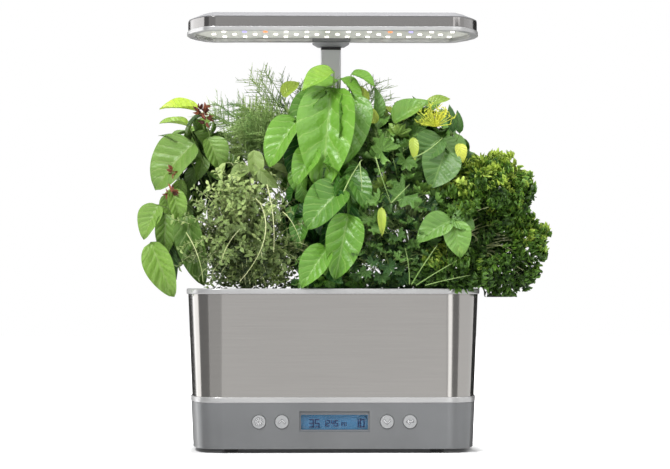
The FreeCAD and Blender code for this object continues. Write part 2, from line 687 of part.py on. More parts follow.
def make_detent_housing():
    """The small boss on the tower's back that holds the plunger and its spring."""
    boss = box(-6, 6, TOWER_BACK, TOWER_BACK + 5.5, DETENT_HEIGHT - 6, DETENT_HEIGHT + 4.5)
    hole = DETENT_RADIUS + 0.1
    bore = level_bar(hole, hole, PIN_SIDES, 0, DETENT_HEIGHT, TOWER_BACK - 1, TOWER_BACK + 4.3)
    return boss.cut(bore)


def make_detent_plunger():
    """The plunger that clicks into the notches of the middle section."""
    tip = level_bar(1.0, DETENT_RADIUS, PIN_SIDES, 0, DETENT_HEIGHT, MID_BACK + 0.1, MID_BACK + 1.5)
    body = level_bar(DETENT_RADIUS, DETENT_RADIUS, PIN_SIDES, 0, DETENT_HEIGHT,
                     MID_BACK + 1.5, MID_BACK + 4.5)
    return fuse([tip, body])


def make_detent_spring():
    """The short spring behind the plunger, drawn as the sleeve that it fills."""
    front = MID_BACK + 4.5
    outer, inner = DETENT_RADIUS - 0.2, DETENT_RADIUS - 1.0
    sleeve = level_bar(outer, outer, PIN_SIDES, 0, DETENT_HEIGHT, front, TOWER_BACK + 4.3)
    bore = level_bar(inner, inner, PIN_SIDES, 0, DETENT_HEIGHT, front - 1, TOWER_BACK + 5)
    return sleeve.cut(bore)


def notch_heights():
    """Return where the notches stand, one for each place that the lamp clicks to."""
    count = int(LOWER_TRAVEL / NOTCH_STEP) + 1
    return [DETENT_HEIGHT + number * NOTCH_STEP for number in range(count)]


def make_mid_mast():
    """The middle section: a rounded tube with a ladder of notches down its back."""
    tube = mast_section(MID_WIDTH, MID_DEPTH, MID_BOTTOM, MID_TOP, 2.5)
    bore = mast_section(MID_WIDTH - 2 * MAST_WALL, MID_DEPTH - 2 * MAST_WALL,
                        MID_BOTTOM - 1, MID_TOP + 1, 1.0)
    tube = tube.cut(bore)
    for height in notch_heights():
        tube = tube.cut(box(-3.5, 3.5, MID_BACK - NOTCH_DEPTH, MID_BACK + 1,
                            height - NOTCH_HEIGHT / 2, height + NOTCH_HEIGHT / 2))
    return tube


def make_mid_shoe():
    """The sliding shoe round the foot of the middle section, inside the tower."""
    shoe = mast_section(TOWER_WIDTH - 2 * MAST_WALL - 2 * SLIDE_GAP,
                        TOWER_DEPTH - 2 * MAST_WALL - 2 * SLIDE_GAP,
                        MID_BOTTOM - 2, MID_BOTTOM + SHOE_HEIGHT, 1.4)
    seat = mast_section(MID_WIDTH, MID_DEPTH, MID_BOTTOM, MID_BOTTOM + SHOE_HEIGHT + 1, 2.5)
    way = mast_section(MID_WIDTH - 2 * MAST_WALL, MID_DEPTH - 2 * MAST_WALL,
                       MID_BOTTOM - 3, MID_BOTTOM + 1, 1.0)
    return shoe.cut(seat).cut(way)


INNER_SHOE_TOP = INNER_BOTTOM + 12.0


def make_mid_bush():
    """The dark bush in the top of the middle section; its skirt stops the inner section."""
    cap = mast_section(MID_WIDTH, MID_DEPTH, MID_TOP, BRACKET_BOTTOM - 0.3, 2.5)
    skirt = mast_section(MID_WIDTH - 2 * MAST_WALL, MID_DEPTH - 2 * MAST_WALL,
                         INNER_SHOE_TOP + UPPER_TRAVEL + 0.3, MID_TOP + 0.5, 1.0)
    way = mast_section(INNER_WIDTH + 2 * SLIDE_GAP, INNER_DEPTH + 2 * SLIDE_GAP,
                       INNER_BOTTOM, BRACKET_BOTTOM, 1.1)
    return fuse([cap, skirt]).cut(way)


def make_inner_mast():
    """The inner section that carries the lamp and its wires."""
    tube = mast_section(INNER_WIDTH, INNER_DEPTH, INNER_BOTTOM, BEZEL_TOP + 4, 1.0)
    return tube.cut(mast_section(INNER_WIDTH - 2.4, INNER_DEPTH - 2.4,
                                 INNER_BOTTOM - 1, BEZEL_TOP + 5, 0.6))


def make_inner_shoe():
    """The sliding shoe round the foot of the inner section."""
    shoe = mast_section(MID_WIDTH - 2 * MAST_WALL - 2 * SLIDE_GAP,
                        MID_DEPTH - 2 * MAST_WALL - 2 * SLIDE_GAP,
                        INNER_BOTTOM, INNER_SHOE_TOP, 0.9)
    return shoe.cut(mast_section(INNER_WIDTH, INNER_DEPTH, INNER_BOTTOM - 1, INNER_SHOE_TOP + 1, 1.0))


def bracket_block(grow):
    """Return the boss under the back of the lamp, grown all round by a gap."""
    top = BRACKET_TOP_WIDTH / 2 + grow
    bottom = BRACKET_BOTTOM_WIDTH / 2 + grow
    shoulder = LAMP_BOTTOM + 1.0

    def section(half, front, back, z):
        cut = 6.0
        points = [
            (-half, front), (half, front), (half, back - cut), (half - cut, back),
            (cut - half, back), (-half, back - cut),
        ]
        return [Vector(x, y, z) for x, y in points]

    low = section(bottom, BRACKET_FRONT + 5 - grow, BRACKET_BACK - 2 + grow, BRACKET_BOTTOM - grow)
    mid = section(top, BRACKET_FRONT - 12 - grow, BRACKET_BACK + grow, shoulder)
    return fuse([frustum(low, mid), upright(mid, BAND_TOP - 2.5 + grow - shoulder)])


BRACKET_SCREW_PLACES = [(sx * 12.0, MAST_Y - 16.0) for sx in (-1, 1)]


def make_lamp_bracket():
    """The boss that joins the lamp to the inner section."""
    block = bracket_block(0)
    block = block.cut(mast_section(INNER_WIDTH, INNER_DEPTH, BRACKET_BOTTOM - 1, BEZEL_TOP + 4, 1.0))
    for x, y in BRACKET_SCREW_PLACES:
        block = block.cut(faceted(1.6, 1.6, 8, x, y, BEZEL_TOP, BAND_TOP))
    return block


def make_bracket_screws():
    """Two screws that come down through the lamp's cover into the boss."""
    screws = []
    for x, y in BRACKET_SCREW_PLACES:
        head = faceted(3.0, 3.0, PIN_SIDES, x, y, BAND_TOP - 0.6, BAND_TOP + 0.6)
        shank = faceted(1.5, 1.5, PIN_SIDES, x, y, BEZEL_TOP + 0.5, BAND_TOP - 0.2)
        screws.append(fuse([head, shank]))
    return Part.makeCompound(screws)


def make_lamp_cover():
    """The lamp's domed top, which reaches back over the mast."""
    lip_top = BAND_TOP + 1.0
    lip = LAMP_PLAN.prism(BAND_TOP, lip_top)
    dome = tapered(LAMP_PLAN.inset(0.8), lip_top, LAMP_PLAN.inset(9.0), LAMP_TOP)
    spigot = LAMP_PLAN.inset(BAND_THICKNESS + SKIN_GAP).prism(BAND_TOP - 2.4, BAND_TOP)
    half = BRACKET_TOP_WIDTH / 2
    tail = rounded_box(-half, half, 40, BRACKET_BACK, BAND_TOP - 2.4, LAMP_TOP - 1.5, 6)
    cover = fuse([lip, dome, spigot, tail])
    for side in (-1, 1):
        pocket = box(min(side * 24, side * 100), max(side * 24, side * 100), -45, 55,
                     BAND_TOP - 3, BAND_TOP - 0.8)
        cover = cover.cut(pocket)
    for x, y in BRACKET_SCREW_PLACES:
        cover = cover.cut(faceted(3.3, 3.3, PIN_SIDES, x, y, BAND_TOP - 0.6, LAMP_TOP + 1))
        cover = cover.cut(faceted(1.6, 1.6, 8, x, y, BAND_TOP - 3, BAND_TOP))
    return cover


def make_lamp_band():
    """The brushed band round the lamp's edge, notched at the back for the boss."""
    band = LAMP_PLAN.ring(BAND_THICKNESS, BEZEL_TOP, BAND_TOP)
    half = BRACKET_TOP_WIDTH / 2 + SKIN_GAP
    return band.cut(box(-half, half, BRACKET_FRONT - 12, BRACKET_BACK, BEZEL_TOP - 1, BAND_TOP + 1))


def make_lamp_bezel():
    """The lamp's lower frame, a little wider than the band."""
    plan = LAMP_PLAN.inset(-BEZEL_LIP)
    frame = plan.ring(BEZEL_WIDTH, LAMP_BOTTOM, BEZEL_TOP)
    return frame.cut(bracket_block(SKIN_GAP))


def make_led_board():
    """The aluminium board that the diodes are mounted on."""
    board = LAMP_PLAN.inset(BAND_THICKNESS + SKIN_GAP).prism(BEZEL_TOP, BEZEL_TOP + LED_BOARD_THICKNESS)
    return board.cut(bracket_block(SKIN_GAP))


def make_led_driver():
    """The driver that feeds the diodes, on the back of their board."""
    low = BEZEL_TOP + LED_BOARD_THICKNESS
    return box(-60, 60, -10, 25, low, low + 4.5)


def led_places():
    """Return the diodes' places and colours: offset rows, most of them white."""
    places = []
    for row in range(LED_ROWS):
        y = LAMP_MIDDLE_Y + (row - (LED_ROWS - 1) / 2) * LED_ROW_PITCH
        shift = (row % 2 - 0.5) * LED_PITCH / 2
        for number in range(LEDS_PER_ROW):
            x = (number - (LEDS_PER_ROW - 1) / 2) * LED_PITCH + shift
            in_boss = abs(x) < BRACKET_TOP_WIDTH / 2 + 3 and y > BRACKET_FRONT - 20
            if not in_boss:
                places.append((row, number, x, y))
    return places


RED_LEDS = {(1, 2), (1, 8)}
BLUE_LEDS = {(1, 1), (1, 9)}


def make_leds(chosen):
    """Return the diodes for which a test of row and number is true."""
    top = BEZEL_TOP
    leds = [box(x - LED_LENGTH / 2, x + LED_LENGTH / 2, y - LED_WIDTH / 2, y + LED_WIDTH / 2,
                top - LED_HEIGHT, top)
            for row, number, x, y in led_places() if chosen((row, number))]
    return Part.makeCompound(leds)


# Herbs. Each one keeps to its own rooms, boxes of air that no other herb uses.
STEM_ROOT = SPONGE_TOP + 0.7
STEM_STEPS = 4
THREADS = 6
GOLDEN_ANGLE = 137.5
OVAL = ((0.18, 0.62), (0.48, 1.0), (0.80, 0.62))
SMALL = ((0.5, 1.0),)


@dataclass(frozen=True)
class Room:
    """A box of air, from its lowest to its highest corner."""

    low: tuple
    high: tuple

    def holds(self, points):
        """Tell whether every point lies inside."""
        return all(self.low[axis] <= point[axis] <= self.high[axis]
                   for point in points for axis in range(3))


@dataclass(frozen=True)
class Stem:
    """One stem: where its tip stands, seen from the pod, and how it bends on the way there."""

    heading: float
    reach: float
    rise: float
    arch: float = 0.0
    lean: float = 0.15


def polyhedron(points, facets):
    """Return a closed solid made of flat triangles."""
    shape = Part.Shape()
    shape.makeShapeFromMesh((points, facets), 0.0005)
    solid = Part.Solid(Part.Shell(shape.Faces))
    if solid.Volume < 0:
        solid.reverse()
    return solid


def leaf_points(base, heading, pitch, length, width, droop, fold, outline):
    """Return a leaf's outline and its middle, and the direction that its face looks in."""
    turn, tilt = math.radians(heading), math.radians(pitch)
    forward = Vector(math.cos(turn) * math.cos(tilt), math.sin(turn) * math.cos(tilt), math.sin(tilt))
    side = Vector(-math.sin(turn), math.cos(turn), 0)
    face = forward.cross(side)

    def at(share, across):
        lift = fold * abs(across) * width / 2
        sag = Vector(0, 0, -droop * length * share**2)
        return base + forward * (share * length) + side * (across * width / 2) + face * lift + sag

    left = [at(share, half) for share, half in outline]
    right = [at(share, -half) for share, half in reversed(outline)]
    return [at(0, 0)] + left + [at(1, 0)] + right, at(0.5, 0), face


def leaf_solid(edge, middle, face, thickness):
    """Return a leaf that is thickest at its middle and sharp round its edge."""
    points = edge + [middle + face * (thickness / 2), middle - face * (thickness / 2)]
    count = len(edge)
    facets = []
    for corner in range(count):
        after = (corner + 1) % count
        facets.append((after, corner, count))
        facets.append((corner, after, count + 1))
    return polyhedron(points, facets)


def tube(points, radius, tip_radius, sides=3):
    """Return a stem with flat sides that narrows from its first point to its last."""
    ring_points = []
    last = len(points) - 1
    for number, point in enumerate(points):
        ahead = points[min(number + 1, last)] - points[max(number - 1, 0)]
        ahead.normalize()
        across = ahead.cross(Vector(0.3, 1, 0.1))
        across.normalize()
        other = ahead.cross(across)
        size = radius + (tip_radius - radius) * number / last
        for step in range(sides):
            angle = 2 * math.pi * step / sides
            ring_points.append(point + across * (size * math.cos(angle)) + other * (size * math.sin(angle)))
    facets = []
    for number in range(last):
        for step in range(sides):
            here, beside = number * sides + step, number * sides + (step + 1) % sides
            facets.append((here, beside, here + sides))
            facets.append((beside, beside + sides, here + sides))
    for step in range(1, sides - 1):
        facets.append((0, step + 1, step))
        start = last * sides
        facets.append((start, start + step, start + step + 1))
    return polyhedron(ring_points, facets)


def stem_line(pod, stem):
    """Return points along a stem that rises straight out of its pod and arches to its tip."""
    turn = math.radians(stem.heading)
    root = Vector(pod[0] + 1.5 * math.cos(turn), pod[1] + 1.5 * math.sin(turn), STEM_ROOT)
    neck = Vector(root.x, root.y, DECK_TOP + POD_FLANGE + COLLAR_THICKNESS + 1.0)
    tip = Vector(pod[0] + stem.reach * math.cos(turn), pod[1] + stem.reach * math.sin(turn),
                 STEM_ROOT + stem.rise)
    bend = Vector(pod[0] + stem.lean * stem.reach * math.cos(turn),
                  pod[1] + stem.lean * stem.reach * math.sin(turn),
                  STEM_ROOT + max(0.75 * stem.rise, 20) + stem.arch)
    line = [root]
    for step in range(STEM_STEPS + 1):
        t = step / STEM_STEPS
        line.append(neck * (1 - t) ** 2 + bend * (2 * t * (1 - t)) + tip * t**2)
    return line


class Herb:
    """A herb that grows stems and leaves inside its rooms."""

    def __init__(self, pod, rooms, seed):
        self.pod = pod
        self.rooms = rooms
        self.chance = random.Random(seed)
        self.solids = []

    def fits(self, points):
        """Tell whether the points all lie in one of this herb's rooms."""
        return any(room.holds(points) for room in self.rooms)

    def add_stem(self, stem, radius):
        """Add a stem, cut off where it leaves the herb's rooms, and return its line."""
        line = stem_line(self.pod, stem)
        kept = line[:2]
        for point in line[2:]:
            if not self.fits([point]):
                break
            kept.append(point)
        self.solids.append(tube(kept, radius, 0.4 * radius))
        return kept

    def add_leaf(self, base, heading, pitch, length, width, droop=0.3, fold=0.25,
                 outline=OVAL, thickness=1.0):
        """Add a leaf if it has room."""
        edge, middle, face = leaf_points(base, heading, pitch, length, width, droop, fold, outline)
        if self.fits(edge + [middle]):
            self.solids.append(leaf_solid(edge, middle, face, thickness))

    def leaves_along(self, line, start, pairs, length, width, **shape):
        """Add pairs of leaves along a stem, each pair turned from the one below."""
        last = len(line) - 1
        turn = self.chance.uniform(0, 360)
        for number in range(pairs):
            share = start + (1 - start) * number / max(pairs - 1, 1)
            place = share * last
            low = min(int(place), last - 1)
            base = line[low] + (line[low + 1] - line[low]) * (place - low)
            turn += GOLDEN_ANGLE
            size = self.chance.uniform(0.8, 1.15) * (1.1 - 0.35 * share)
            for side in (0, 180):
                pitch = self.chance.uniform(5, 40)
                self.add_leaf(base, turn + side, pitch, length * size, width * size, **shape)

    def add_spray(self, place, turn):
        """Add a spray of short threads."""
        for number in range(THREADS):
            heading = math.radians(GOLDEN_ANGLE * number + turn)
            tilt = math.radians(self.chance.uniform(-20, 75))
            reach = Vector(math.cos(heading) * math.cos(tilt),
                           0.6 * math.sin(heading) * math.cos(tilt), math.sin(tilt))
            thread = [place, place + reach * self.chance.uniform(14, 28)]
            if self.fits(thread):
                self.solids.append(tube(thread, 0.6, 0.3))

    def tip_leaves(self, line, heading, count, spread, pitch, length, width, **shape):
        """Add a fan of leaves at a stem's tip."""
        for number in range(count):
            turn = heading + spread * (number - (count - 1) / 2)
            self.add_leaf(line[-1], turn, pitch - 12 * (number % 2), length, width, **shape)

    def solid(self):
        """Return the whole herb."""
        return Part.makeCompound(self.solids)


def make_thai_basil():
    """The red-tipped basil at the left: leaves on stems that lean out over the side."""
    rooms = [Room((-180, 2, 148), (-22, 71, 256)), Room((-180, 2, 148), (-114, 71, 330)),
             Room((-181, -60, 137.5), (-151, 71, 330)), Room((-152, -60, 245), (-74, 3, 330)),
             Room((-90, 24, 141), (-70, 44, 150))]
    herb = Herb((-POD_SPACING_X, POD_Y), rooms, 11)
    stems = [Stem(176, 86, 150, 20), Stem(186, 84, 90, 60), Stem(166, 72, 172), Stem(176, 84, 50, 90),
             Stem(140, 50, 105), Stem(182, 60, 160), Stem(196, 88, 118, 40)]
    for stem in stems:
        line = herb.add_stem(stem, 1.4)
        herb.leaves_along(line, 0.4, 3, 48, 27, droop=0.4)
        herb.tip_leaves(line, stem.heading + 60, 3, 55, -30, 52, 30, droop=0.25)
    return herb.solid()


def make_dill():
    """The dill at the back: thin stems that fan out into threads above the other herbs."""
    rooms = [Room((-113, 4, 258), (62, 71, 358)), Room((-18, 4, 141), (18, 71, 262))]
    herb = Herb((0.0, POD_Y), rooms, 23)
    stems = [Stem(172, 95, 150, 30), Stem(176, 80, 190, 20), Stem(170, 62, 208), Stem(175, 40, 200),
             Stem(160, 25, 190), Stem(20, 25, 196), Stem(6, 45, 180, 10), Stem(12, 56, 150, 30),
             Stem(178, 98, 178, 30)]
    for stem in stems:
        line = herb.add_stem(stem, 1.1)
        for number in range(len(line) - 2, len(line)):
            herb.add_spray(line[number], 40 * number)
    return herb.solid()


def make_sweet_basil():
    """The large-leaved basil in the middle of the front row."""
    rooms = [Room((-28, -100, 148), (46, -2, 258)), Room((-70, -100, 243), (49, -2, 352)),
             Room((-10, -44, 141), (10, -24, 150))]
    herb = Herb((0.0, -POD_Y), rooms, 37)
    stems = [Stem(200, 20, 170), Stem(320, 28, 160), Stem(265, 22, 120), Stem(300, 24, 75),
             Stem(80, 8, 184)]
    for stem in stems:
        line = herb.add_stem(stem, 1.6)
        herb.leaves_along(line, 0.45, 3, 50, 36, droop=0.35)
        herb.tip_leaves(line, stem.heading, 3, 110, -15, 46, 36, droop=0.3)
        herb.tip_leaves(line, 265, 2, 40, -58, 62, 44, droop=0.1)
    return herb.solid()


def make_thyme():
    """The thyme at the front left: many thin stems with small leaves."""
    rooms = [Room((-150, -96, 148), (-30, -2, 241)), Room((-90, -44, 141), (-70, -24, 150))]
    herb = Herb((-POD_SPACING_X, -POD_Y), rooms, 53)
    for number in range(11):
        heading = 360 * number / 11 + 10
        reach = 52 if math.sin(math.radians(heading)) < 0.3 else 26
        stem = Stem(heading, reach, 58 + 30 * (number % 2), 25 if number % 3 else 45)
        line = herb.add_stem(stem, 0.9)
        herb.leaves_along(line, 0.3, 4, 19, 12, outline=SMALL, thickness=0.9)
    return herb.solid()


def make_mint():
    """The mint at the back right, which also fills the middle of the right side."""
    rooms = [Room((22, 2, 148), (136, 71, 256)), Room((64, 2, 148), (141, 71, 322)),
             Room((51, -84, 198), (136, 20, 318)), Room((70, 24, 141), (90, 44, 150))]
    herb = Herb((POD_SPACING_X, POD_Y), rooms, 71)
    stems = [Stem(100, 25, 160), Stem(40, 45, 150), Stem(170, 46, 90, 10), Stem(275, 60, 140, 20),
             Stem(300, 70, 110, 30), Stem(255, 76, 118, 30), Stem(330, 45, 150), Stem(285, 92, 76, 70)]
    for stem in stems:
        line = herb.add_stem(stem, 1.4)
        herb.leaves_along(line, 0.45, 3, 40, 30, droop=0.35)
        herb.tip_leaves(line, stem.heading + 40, 3, 70, -20, 42, 32, droop=0.3)
    return herb.solid()


def make_parsley():
    """The curly parsley at the front right, whose frilled leaves hang over the side."""
    rooms = [Room((48, -100, 148), (141, -2, 196)), Room((138, -96, 137.5), (197, 66, 282)),
             Room((70, -44, 141), (90, -24, 150))]
    herb = Herb((POD_SPACING_X, -POD_Y), rooms, 89)
    frill = ((0.1, 0.6), (0.35, 1.0), (0.6, 0.7), (0.82, 0.9))
    stems = [Stem(352, 90, 112, -55, 0.8), Stem(18, 96, 96, -40, 0.8), Stem(6, 84, 130, -70, 0.85),
             Stem(36, 106, 70, -25, 0.8), Stem(2, 102, 56, -10, 0.8), Stem(20, 88, 30, 25, 0.7),
             Stem(350, 82, 18, 22, 0.7), Stem(300, 42, 24), Stem(240, 40, 20, 10)]
    for stem in stems:
        line = herb.add_stem(stem, 1.1)
        herb.leaves_along(line, 0.75, 2, 30, 34, outline=frill, fold=-0.3, droop=0.4)
        herb.tip_leaves(line, stem.heading, 4, 90, 10, 34, 38, outline=frill, fold=-0.3, droop=0.5)
    return herb.solid()


def main():
    """Build every piece and write one file for each."""
    pods = pod_places()
    pieces = {
        "foot_pads": make_foot_pads(),
        "base_housing": make_base_housing(),
        "base_bottom_plate": make_bottom_plate(),
        "base_screws": make_base_screws(),
        "display_bezel": make_display_bezel(),
        "display_window": make_display_window(),
        "lcd_panel": make_lcd_panel(),
        "control_board": make_control_board(),
        "tact_switches": make_tact_switches(),
        "light_button": make_button(-OUTER_BUTTON_X),
        "up_button": make_button(-INNER_BUTTON_X),
        "down_button": make_button(INNER_BUTTON_X),
        "select_button": make_button(OUTER_BUTTON_X),
        "dc_jack": make_dc_jack(),
        "base_contacts": make_base_contacts(),
        "mast_tower": make_tower(),
        "tower_foot": make_tower_foot(),
        "tower_screws": make_tower_screws(),
        "tower_bush": make_tower_bush(),
        "detent_housing": make_detent_housing(),
        "detent_plunger": make_detent_plunger(),
        "detent_spring": make_detent_spring(),
        "mid_mast": make_mid_mast(),
        "mid_mast_shoe": make_mid_shoe(),
        "mid_mast_bush": make_mid_bush(),
        "inner_mast": make_inner_mast(),
        "inner_mast_shoe": make_inner_shoe(),
        "lamp_bracket": make_lamp_bracket(),
        "bracket_screws": make_bracket_screws(),
        "lamp_cover": make_lamp_cover(),
        "lamp_band": make_lamp_band(),
        "lamp_bezel": make_lamp_bezel(),
        "led_board": make_led_board(),
        "led_driver": make_led_driver(),
        "white_leds": make_leds(lambda place: place not in RED_LEDS | BLUE_LEDS),
        "red_leds": make_leds(lambda place: place in RED_LEDS),
        "blue_leds": make_leds(lambda place: place in BLUE_LEDS),
        "bowl_tank": make_tank(),
        "bowl_steel_wrap": make_steel_wrap(),
        "bowl_top_rim": make_top_rim(),
        "bowl_bottom_trim": make_bottom_trim(),
        "bowl_contacts": make_bowl_contacts(),
        "pump_housing": make_pump_housing(),
        "pump_impeller": make_pump_impeller(),
        "pump_filter": make_pump_filter(),
        "pump_cover": make_pump_cover(),
        "grow_deck": make_deck(),
        "gauge_float": make_gauge_float(),
        "pod_baskets": Part.makeCompound([make_basket(x, y) for x, y in pods]),
        "grow_sponges": Part.makeCompound([make_sponge(x, y) for x, y in pods]),
        "pod_collars": Part.makeCompound([make_collar(x, y) for x, y in pods]),
        "thai_basil": make_thai_basil(),
        "dill": make_dill(),
        "sweet_basil": make_sweet_basil(),
        "thyme": make_thyme(),
        "mint": make_mint(),
        "parsley": make_parsley(),
    }
    os.makedirs("parts", exist_ok=True)
    for name, shape in pieces.items():
        shape.exportStep(f"parts/{name}.step")
    print(len(pieces), "pieces written")


main()
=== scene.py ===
"""Dress the countertop herb garden: finishes, herbs, front panel, camera and light."""

from __future__ import annotations

import logging
import math
import random
from dataclasses import dataclass, field
from enum import Enum

import bmesh
import bpy
from mathutils import Matrix, Vector

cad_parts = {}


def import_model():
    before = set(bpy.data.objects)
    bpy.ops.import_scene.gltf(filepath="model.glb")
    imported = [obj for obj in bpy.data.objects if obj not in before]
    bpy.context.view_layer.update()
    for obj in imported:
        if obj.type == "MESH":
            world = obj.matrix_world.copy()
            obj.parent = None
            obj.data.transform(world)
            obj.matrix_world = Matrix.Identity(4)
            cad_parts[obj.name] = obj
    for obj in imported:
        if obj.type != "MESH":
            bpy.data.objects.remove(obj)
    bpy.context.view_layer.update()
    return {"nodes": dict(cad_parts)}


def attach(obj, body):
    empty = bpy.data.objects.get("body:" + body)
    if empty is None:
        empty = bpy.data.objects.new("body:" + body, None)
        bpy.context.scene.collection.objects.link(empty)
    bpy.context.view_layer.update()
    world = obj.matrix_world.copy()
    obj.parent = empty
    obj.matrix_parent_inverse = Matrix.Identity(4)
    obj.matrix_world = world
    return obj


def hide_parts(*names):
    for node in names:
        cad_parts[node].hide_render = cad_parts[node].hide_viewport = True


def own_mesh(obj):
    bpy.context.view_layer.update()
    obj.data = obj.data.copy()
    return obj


LOG = logging.getLogger("herb_garden")
MM = 0.001
Colour = tuple[float, float, float]
Place = tuple[float, float, float]
Socket = bpy.types.NodeSocket

# How far leaves and stems may reach, in metres
REACH_X = (-0.190, 0.206)
REACH_Y = (-0.103, 0.074)
REACH_TOP = 0.360
INSIDE_RIM = (0.126, 0.068)
OUTSIDE_RIM = (0.1365, 0.079)
LOWEST_INSIDE = 0.1434
LOWEST_ON_RIM = 0.1476
LOWEST_OUTSIDE = 0.1385

# Stems, in millimetres: where they begin, and the height of tip from which one stands straight
STEM_FOOT = 142.5
STALK_FOOT = 148
STEM_CIRCLE = 2.5
STEM_RISE = 6
STEM_STEPS = 8
STRAIGHT_FROM = 190
TWIG_RADIUS = 0.55

# The leaves of a cloud: its two layers, how far each leaf strays, and the painted light on top and painted
# shade in the inner layer
LAYER_DEPTHS = (1.0, 0.66)
GOLDEN_TURN = 2.39996
LEAF_REACH = (0.84, 1.02)
LEAF_SIZES = (0.72, 1.18)
LEAF_SWIRL = 0.38
TOP_LIGHT = 0.28
INNER_SHADE = 0.3
LIGHTEST_LEAF = 0.8
CLOUD_STEMS = 7

# The small leaves and the frilled tufts on thin stems
PAIR_SIZES = (0.65, 1.2)
TUFT_SIZES = (0.7, 1.25)
TUFT_REACH = (3, 11)
LIGHTEST_SPRIG = 0.9


class Body(Enum):
    """The parts of the garden that move as one."""

    BASE = "base"
    BOWL = "bowl"
    DECK = "deck"
    LAMP = "lamp"
    MIDDLE_MAST = "middle_mast"
    LIGHT_KEY = "light_key"
    UP_KEY = "up_key"
    DOWN_KEY = "down_key"
    SELECT_KEY = "select_key"


# Finishes


class NodeSheet:
    """A material's node sheet, with the few patterns that the finishes share."""

    def __init__(self, name: str) -> None:
        """Start a material with one plain shader.

        Args:
            name: What the finish is called.
        """
        self.material = bpy.data.materials.new(name)
        self.material.use_nodes = True
        self.tree = self.material.node_tree
        self.shader = self.tree.nodes["Principled BSDF"]
        self.place = self.tree.nodes.new("ShaderNodeTexCoord")

    def add(self, kind: str, **settings: object) -> bpy.types.Node:
        """Add a node and set its own options.

        Args:
            kind: The node's type.
            settings: The node's properties by name.

        Returns:
            The new node.
        """
        node = self.tree.nodes.new(kind)
        for name, value in settings.items():
            setattr(node, name, value)
        return node

    def join(self, source: Socket, target: Socket) -> None:
        """Link two sockets."""
        self.tree.links.new(source, target)

    def stretched(self, stretch: Colour) -> Socket:
        """Return the object's own coordinates, stretched along its axes."""
        mapping = self.add("ShaderNodeMapping")
        mapping.inputs["Scale"].default_value = stretch
        self.join(self.place.outputs["Object"], mapping.inputs["Vector"])
        return mapping.outputs["Vector"]

    def noise(self, scale: float, detail: float = 3.0, stretch: Colour = (1, 1, 1)) -> Socket:
        """Return a noise pattern on the object's own coordinates.

        Args:
            scale: Spots to a metre.
            detail: How many finer layers it has.
            stretch: How much tighter it is along each axis.

        Returns:
            The pattern's strength.
        """
        noise = self.add("ShaderNodeTexNoise")
        noise.inputs["Scale"].default_value = scale
        noise.inputs["Detail"].default_value = detail
        self.join(self.stretched(stretch), noise.inputs["Vector"])
        return noise.outputs["Fac"]

    def ramp(self, source: Socket, low: Colour, high: Colour,
             start: float = 0.3, end: float = 0.7) -> Socket:
        """Return a colour that runs from low to high as the source rises."""
        ramp = self.add("ShaderNodeValToRGB")
        ramp.color_ramp.elements[0].position = start
        ramp.color_ramp.elements[0].color = (*low, 1)
        ramp.color_ramp.elements[1].position = end
        ramp.color_ramp.elements[1].color = (*high, 1)
        self.join(source, ramp.inputs["Fac"])
        return ramp.outputs["Color"]

    def mix(self, share: Socket, first: Socket,
            second: Socket | Colour) -> Socket:
        """Return two colours mixed by a share."""
        node = self.add("ShaderNodeMix", data_type="RGBA")
        self.join(share, node.inputs[0])
        self.join(first, node.inputs[6])
        if isinstance(second, tuple):
            node.inputs[7].default_value = (*second, 1)
        else:
            self.join(second, node.inputs[7])
        return node.outputs[2]

    def sum(self, kind: str, first: Socket | float,
            second: Socket | float = 0.0) -> Socket:
        """Return one arithmetic step on two numbers."""
        node = self.add("ShaderNodeMath", operation=kind)
        for number, value in enumerate((first, second)):
            if isinstance(value, (int, float)):
                node.inputs[number].default_value = value
            else:
                self.join(value, node.inputs[number])
        return node.outputs[0]

    def raise_surface(self, height: Socket, depth: float, strength: float = 1.0) -> None:
        """Turn a height pattern into relief.

        Args:
            height: The pattern.
            depth: Its depth in metres.
            strength: How much of it is felt.
        """
        bump = self.add("ShaderNodeBump")
        bump.inputs["Distance"].default_value = depth
        bump.inputs["Strength"].default_value = strength
        self.join(height, bump.inputs["Height"])
        self.join(bump.outputs["Normal"], self.shader.inputs["Normal"])

    def paint(self, colour: Socket) -> None:
        """Give the shader its colour."""
        self.join(colour, self.shader.inputs["Base Color"])

    def roughen(self, pattern: Socket, share: float, least: float) -> None:
        """Let the roughness rise with a pattern, from a least value."""
        rough = self.sum("MULTIPLY_ADD", pattern, share)
        rough.node.inputs[2].default_value = least
        self.join(rough, self.shader.inputs["Roughness"])

    def set(self, **values: float | tuple) -> None:
        """Set the shader's own sockets, with underscores for the spaces in their names."""
        for name, value in values.items():
            self.shader.inputs[name.replace("_", " ")].default_value = value


@dataclass(frozen=True)
class Finish:
    """A finish that a piece is dressed in."""

    name: str
    colour: Colour

    def shade(self, tone: float) -> Colour:
        """Return the colour made lighter or darker."""
        return tuple(min(channel * tone, 1.0) for channel in self.colour)

    def material(self) -> bpy.types.Material:
        """Return the finish as a material, made once."""
        made = bpy.data.materials.get(self.name)
        if made:
            return made
        sheet = NodeSheet(self.name)
        self.make(sheet)
        return sheet.material

    def make(self, sheet: NodeSheet) -> None:
        """Fill in the node sheet."""
        raise NotImplementedError


@dataclass(frozen=True)
class Moulded(Finish):
    """Moulded or painted plastic and rubber with a fine grain."""

    roughness: float = 0.45
    grain: float = 1800.0
    depth: float = 0.00003
    metal: float = 0.0

    def make(self, sheet: NodeSheet) -> None:
        """Fill in the node sheet."""
        broad = sheet.noise(14.0, 4.0)
        fine = sheet.noise(self.grain, 2.0)
        sheet.paint(sheet.ramp(broad, self.shade(0.92), self.shade(1.07)))
        sheet.roughen(broad, 0.16, self.roughness - 0.08)
        sheet.set(Metallic=self.metal)
        sheet.raise_surface(fine, self.depth, 0.5)


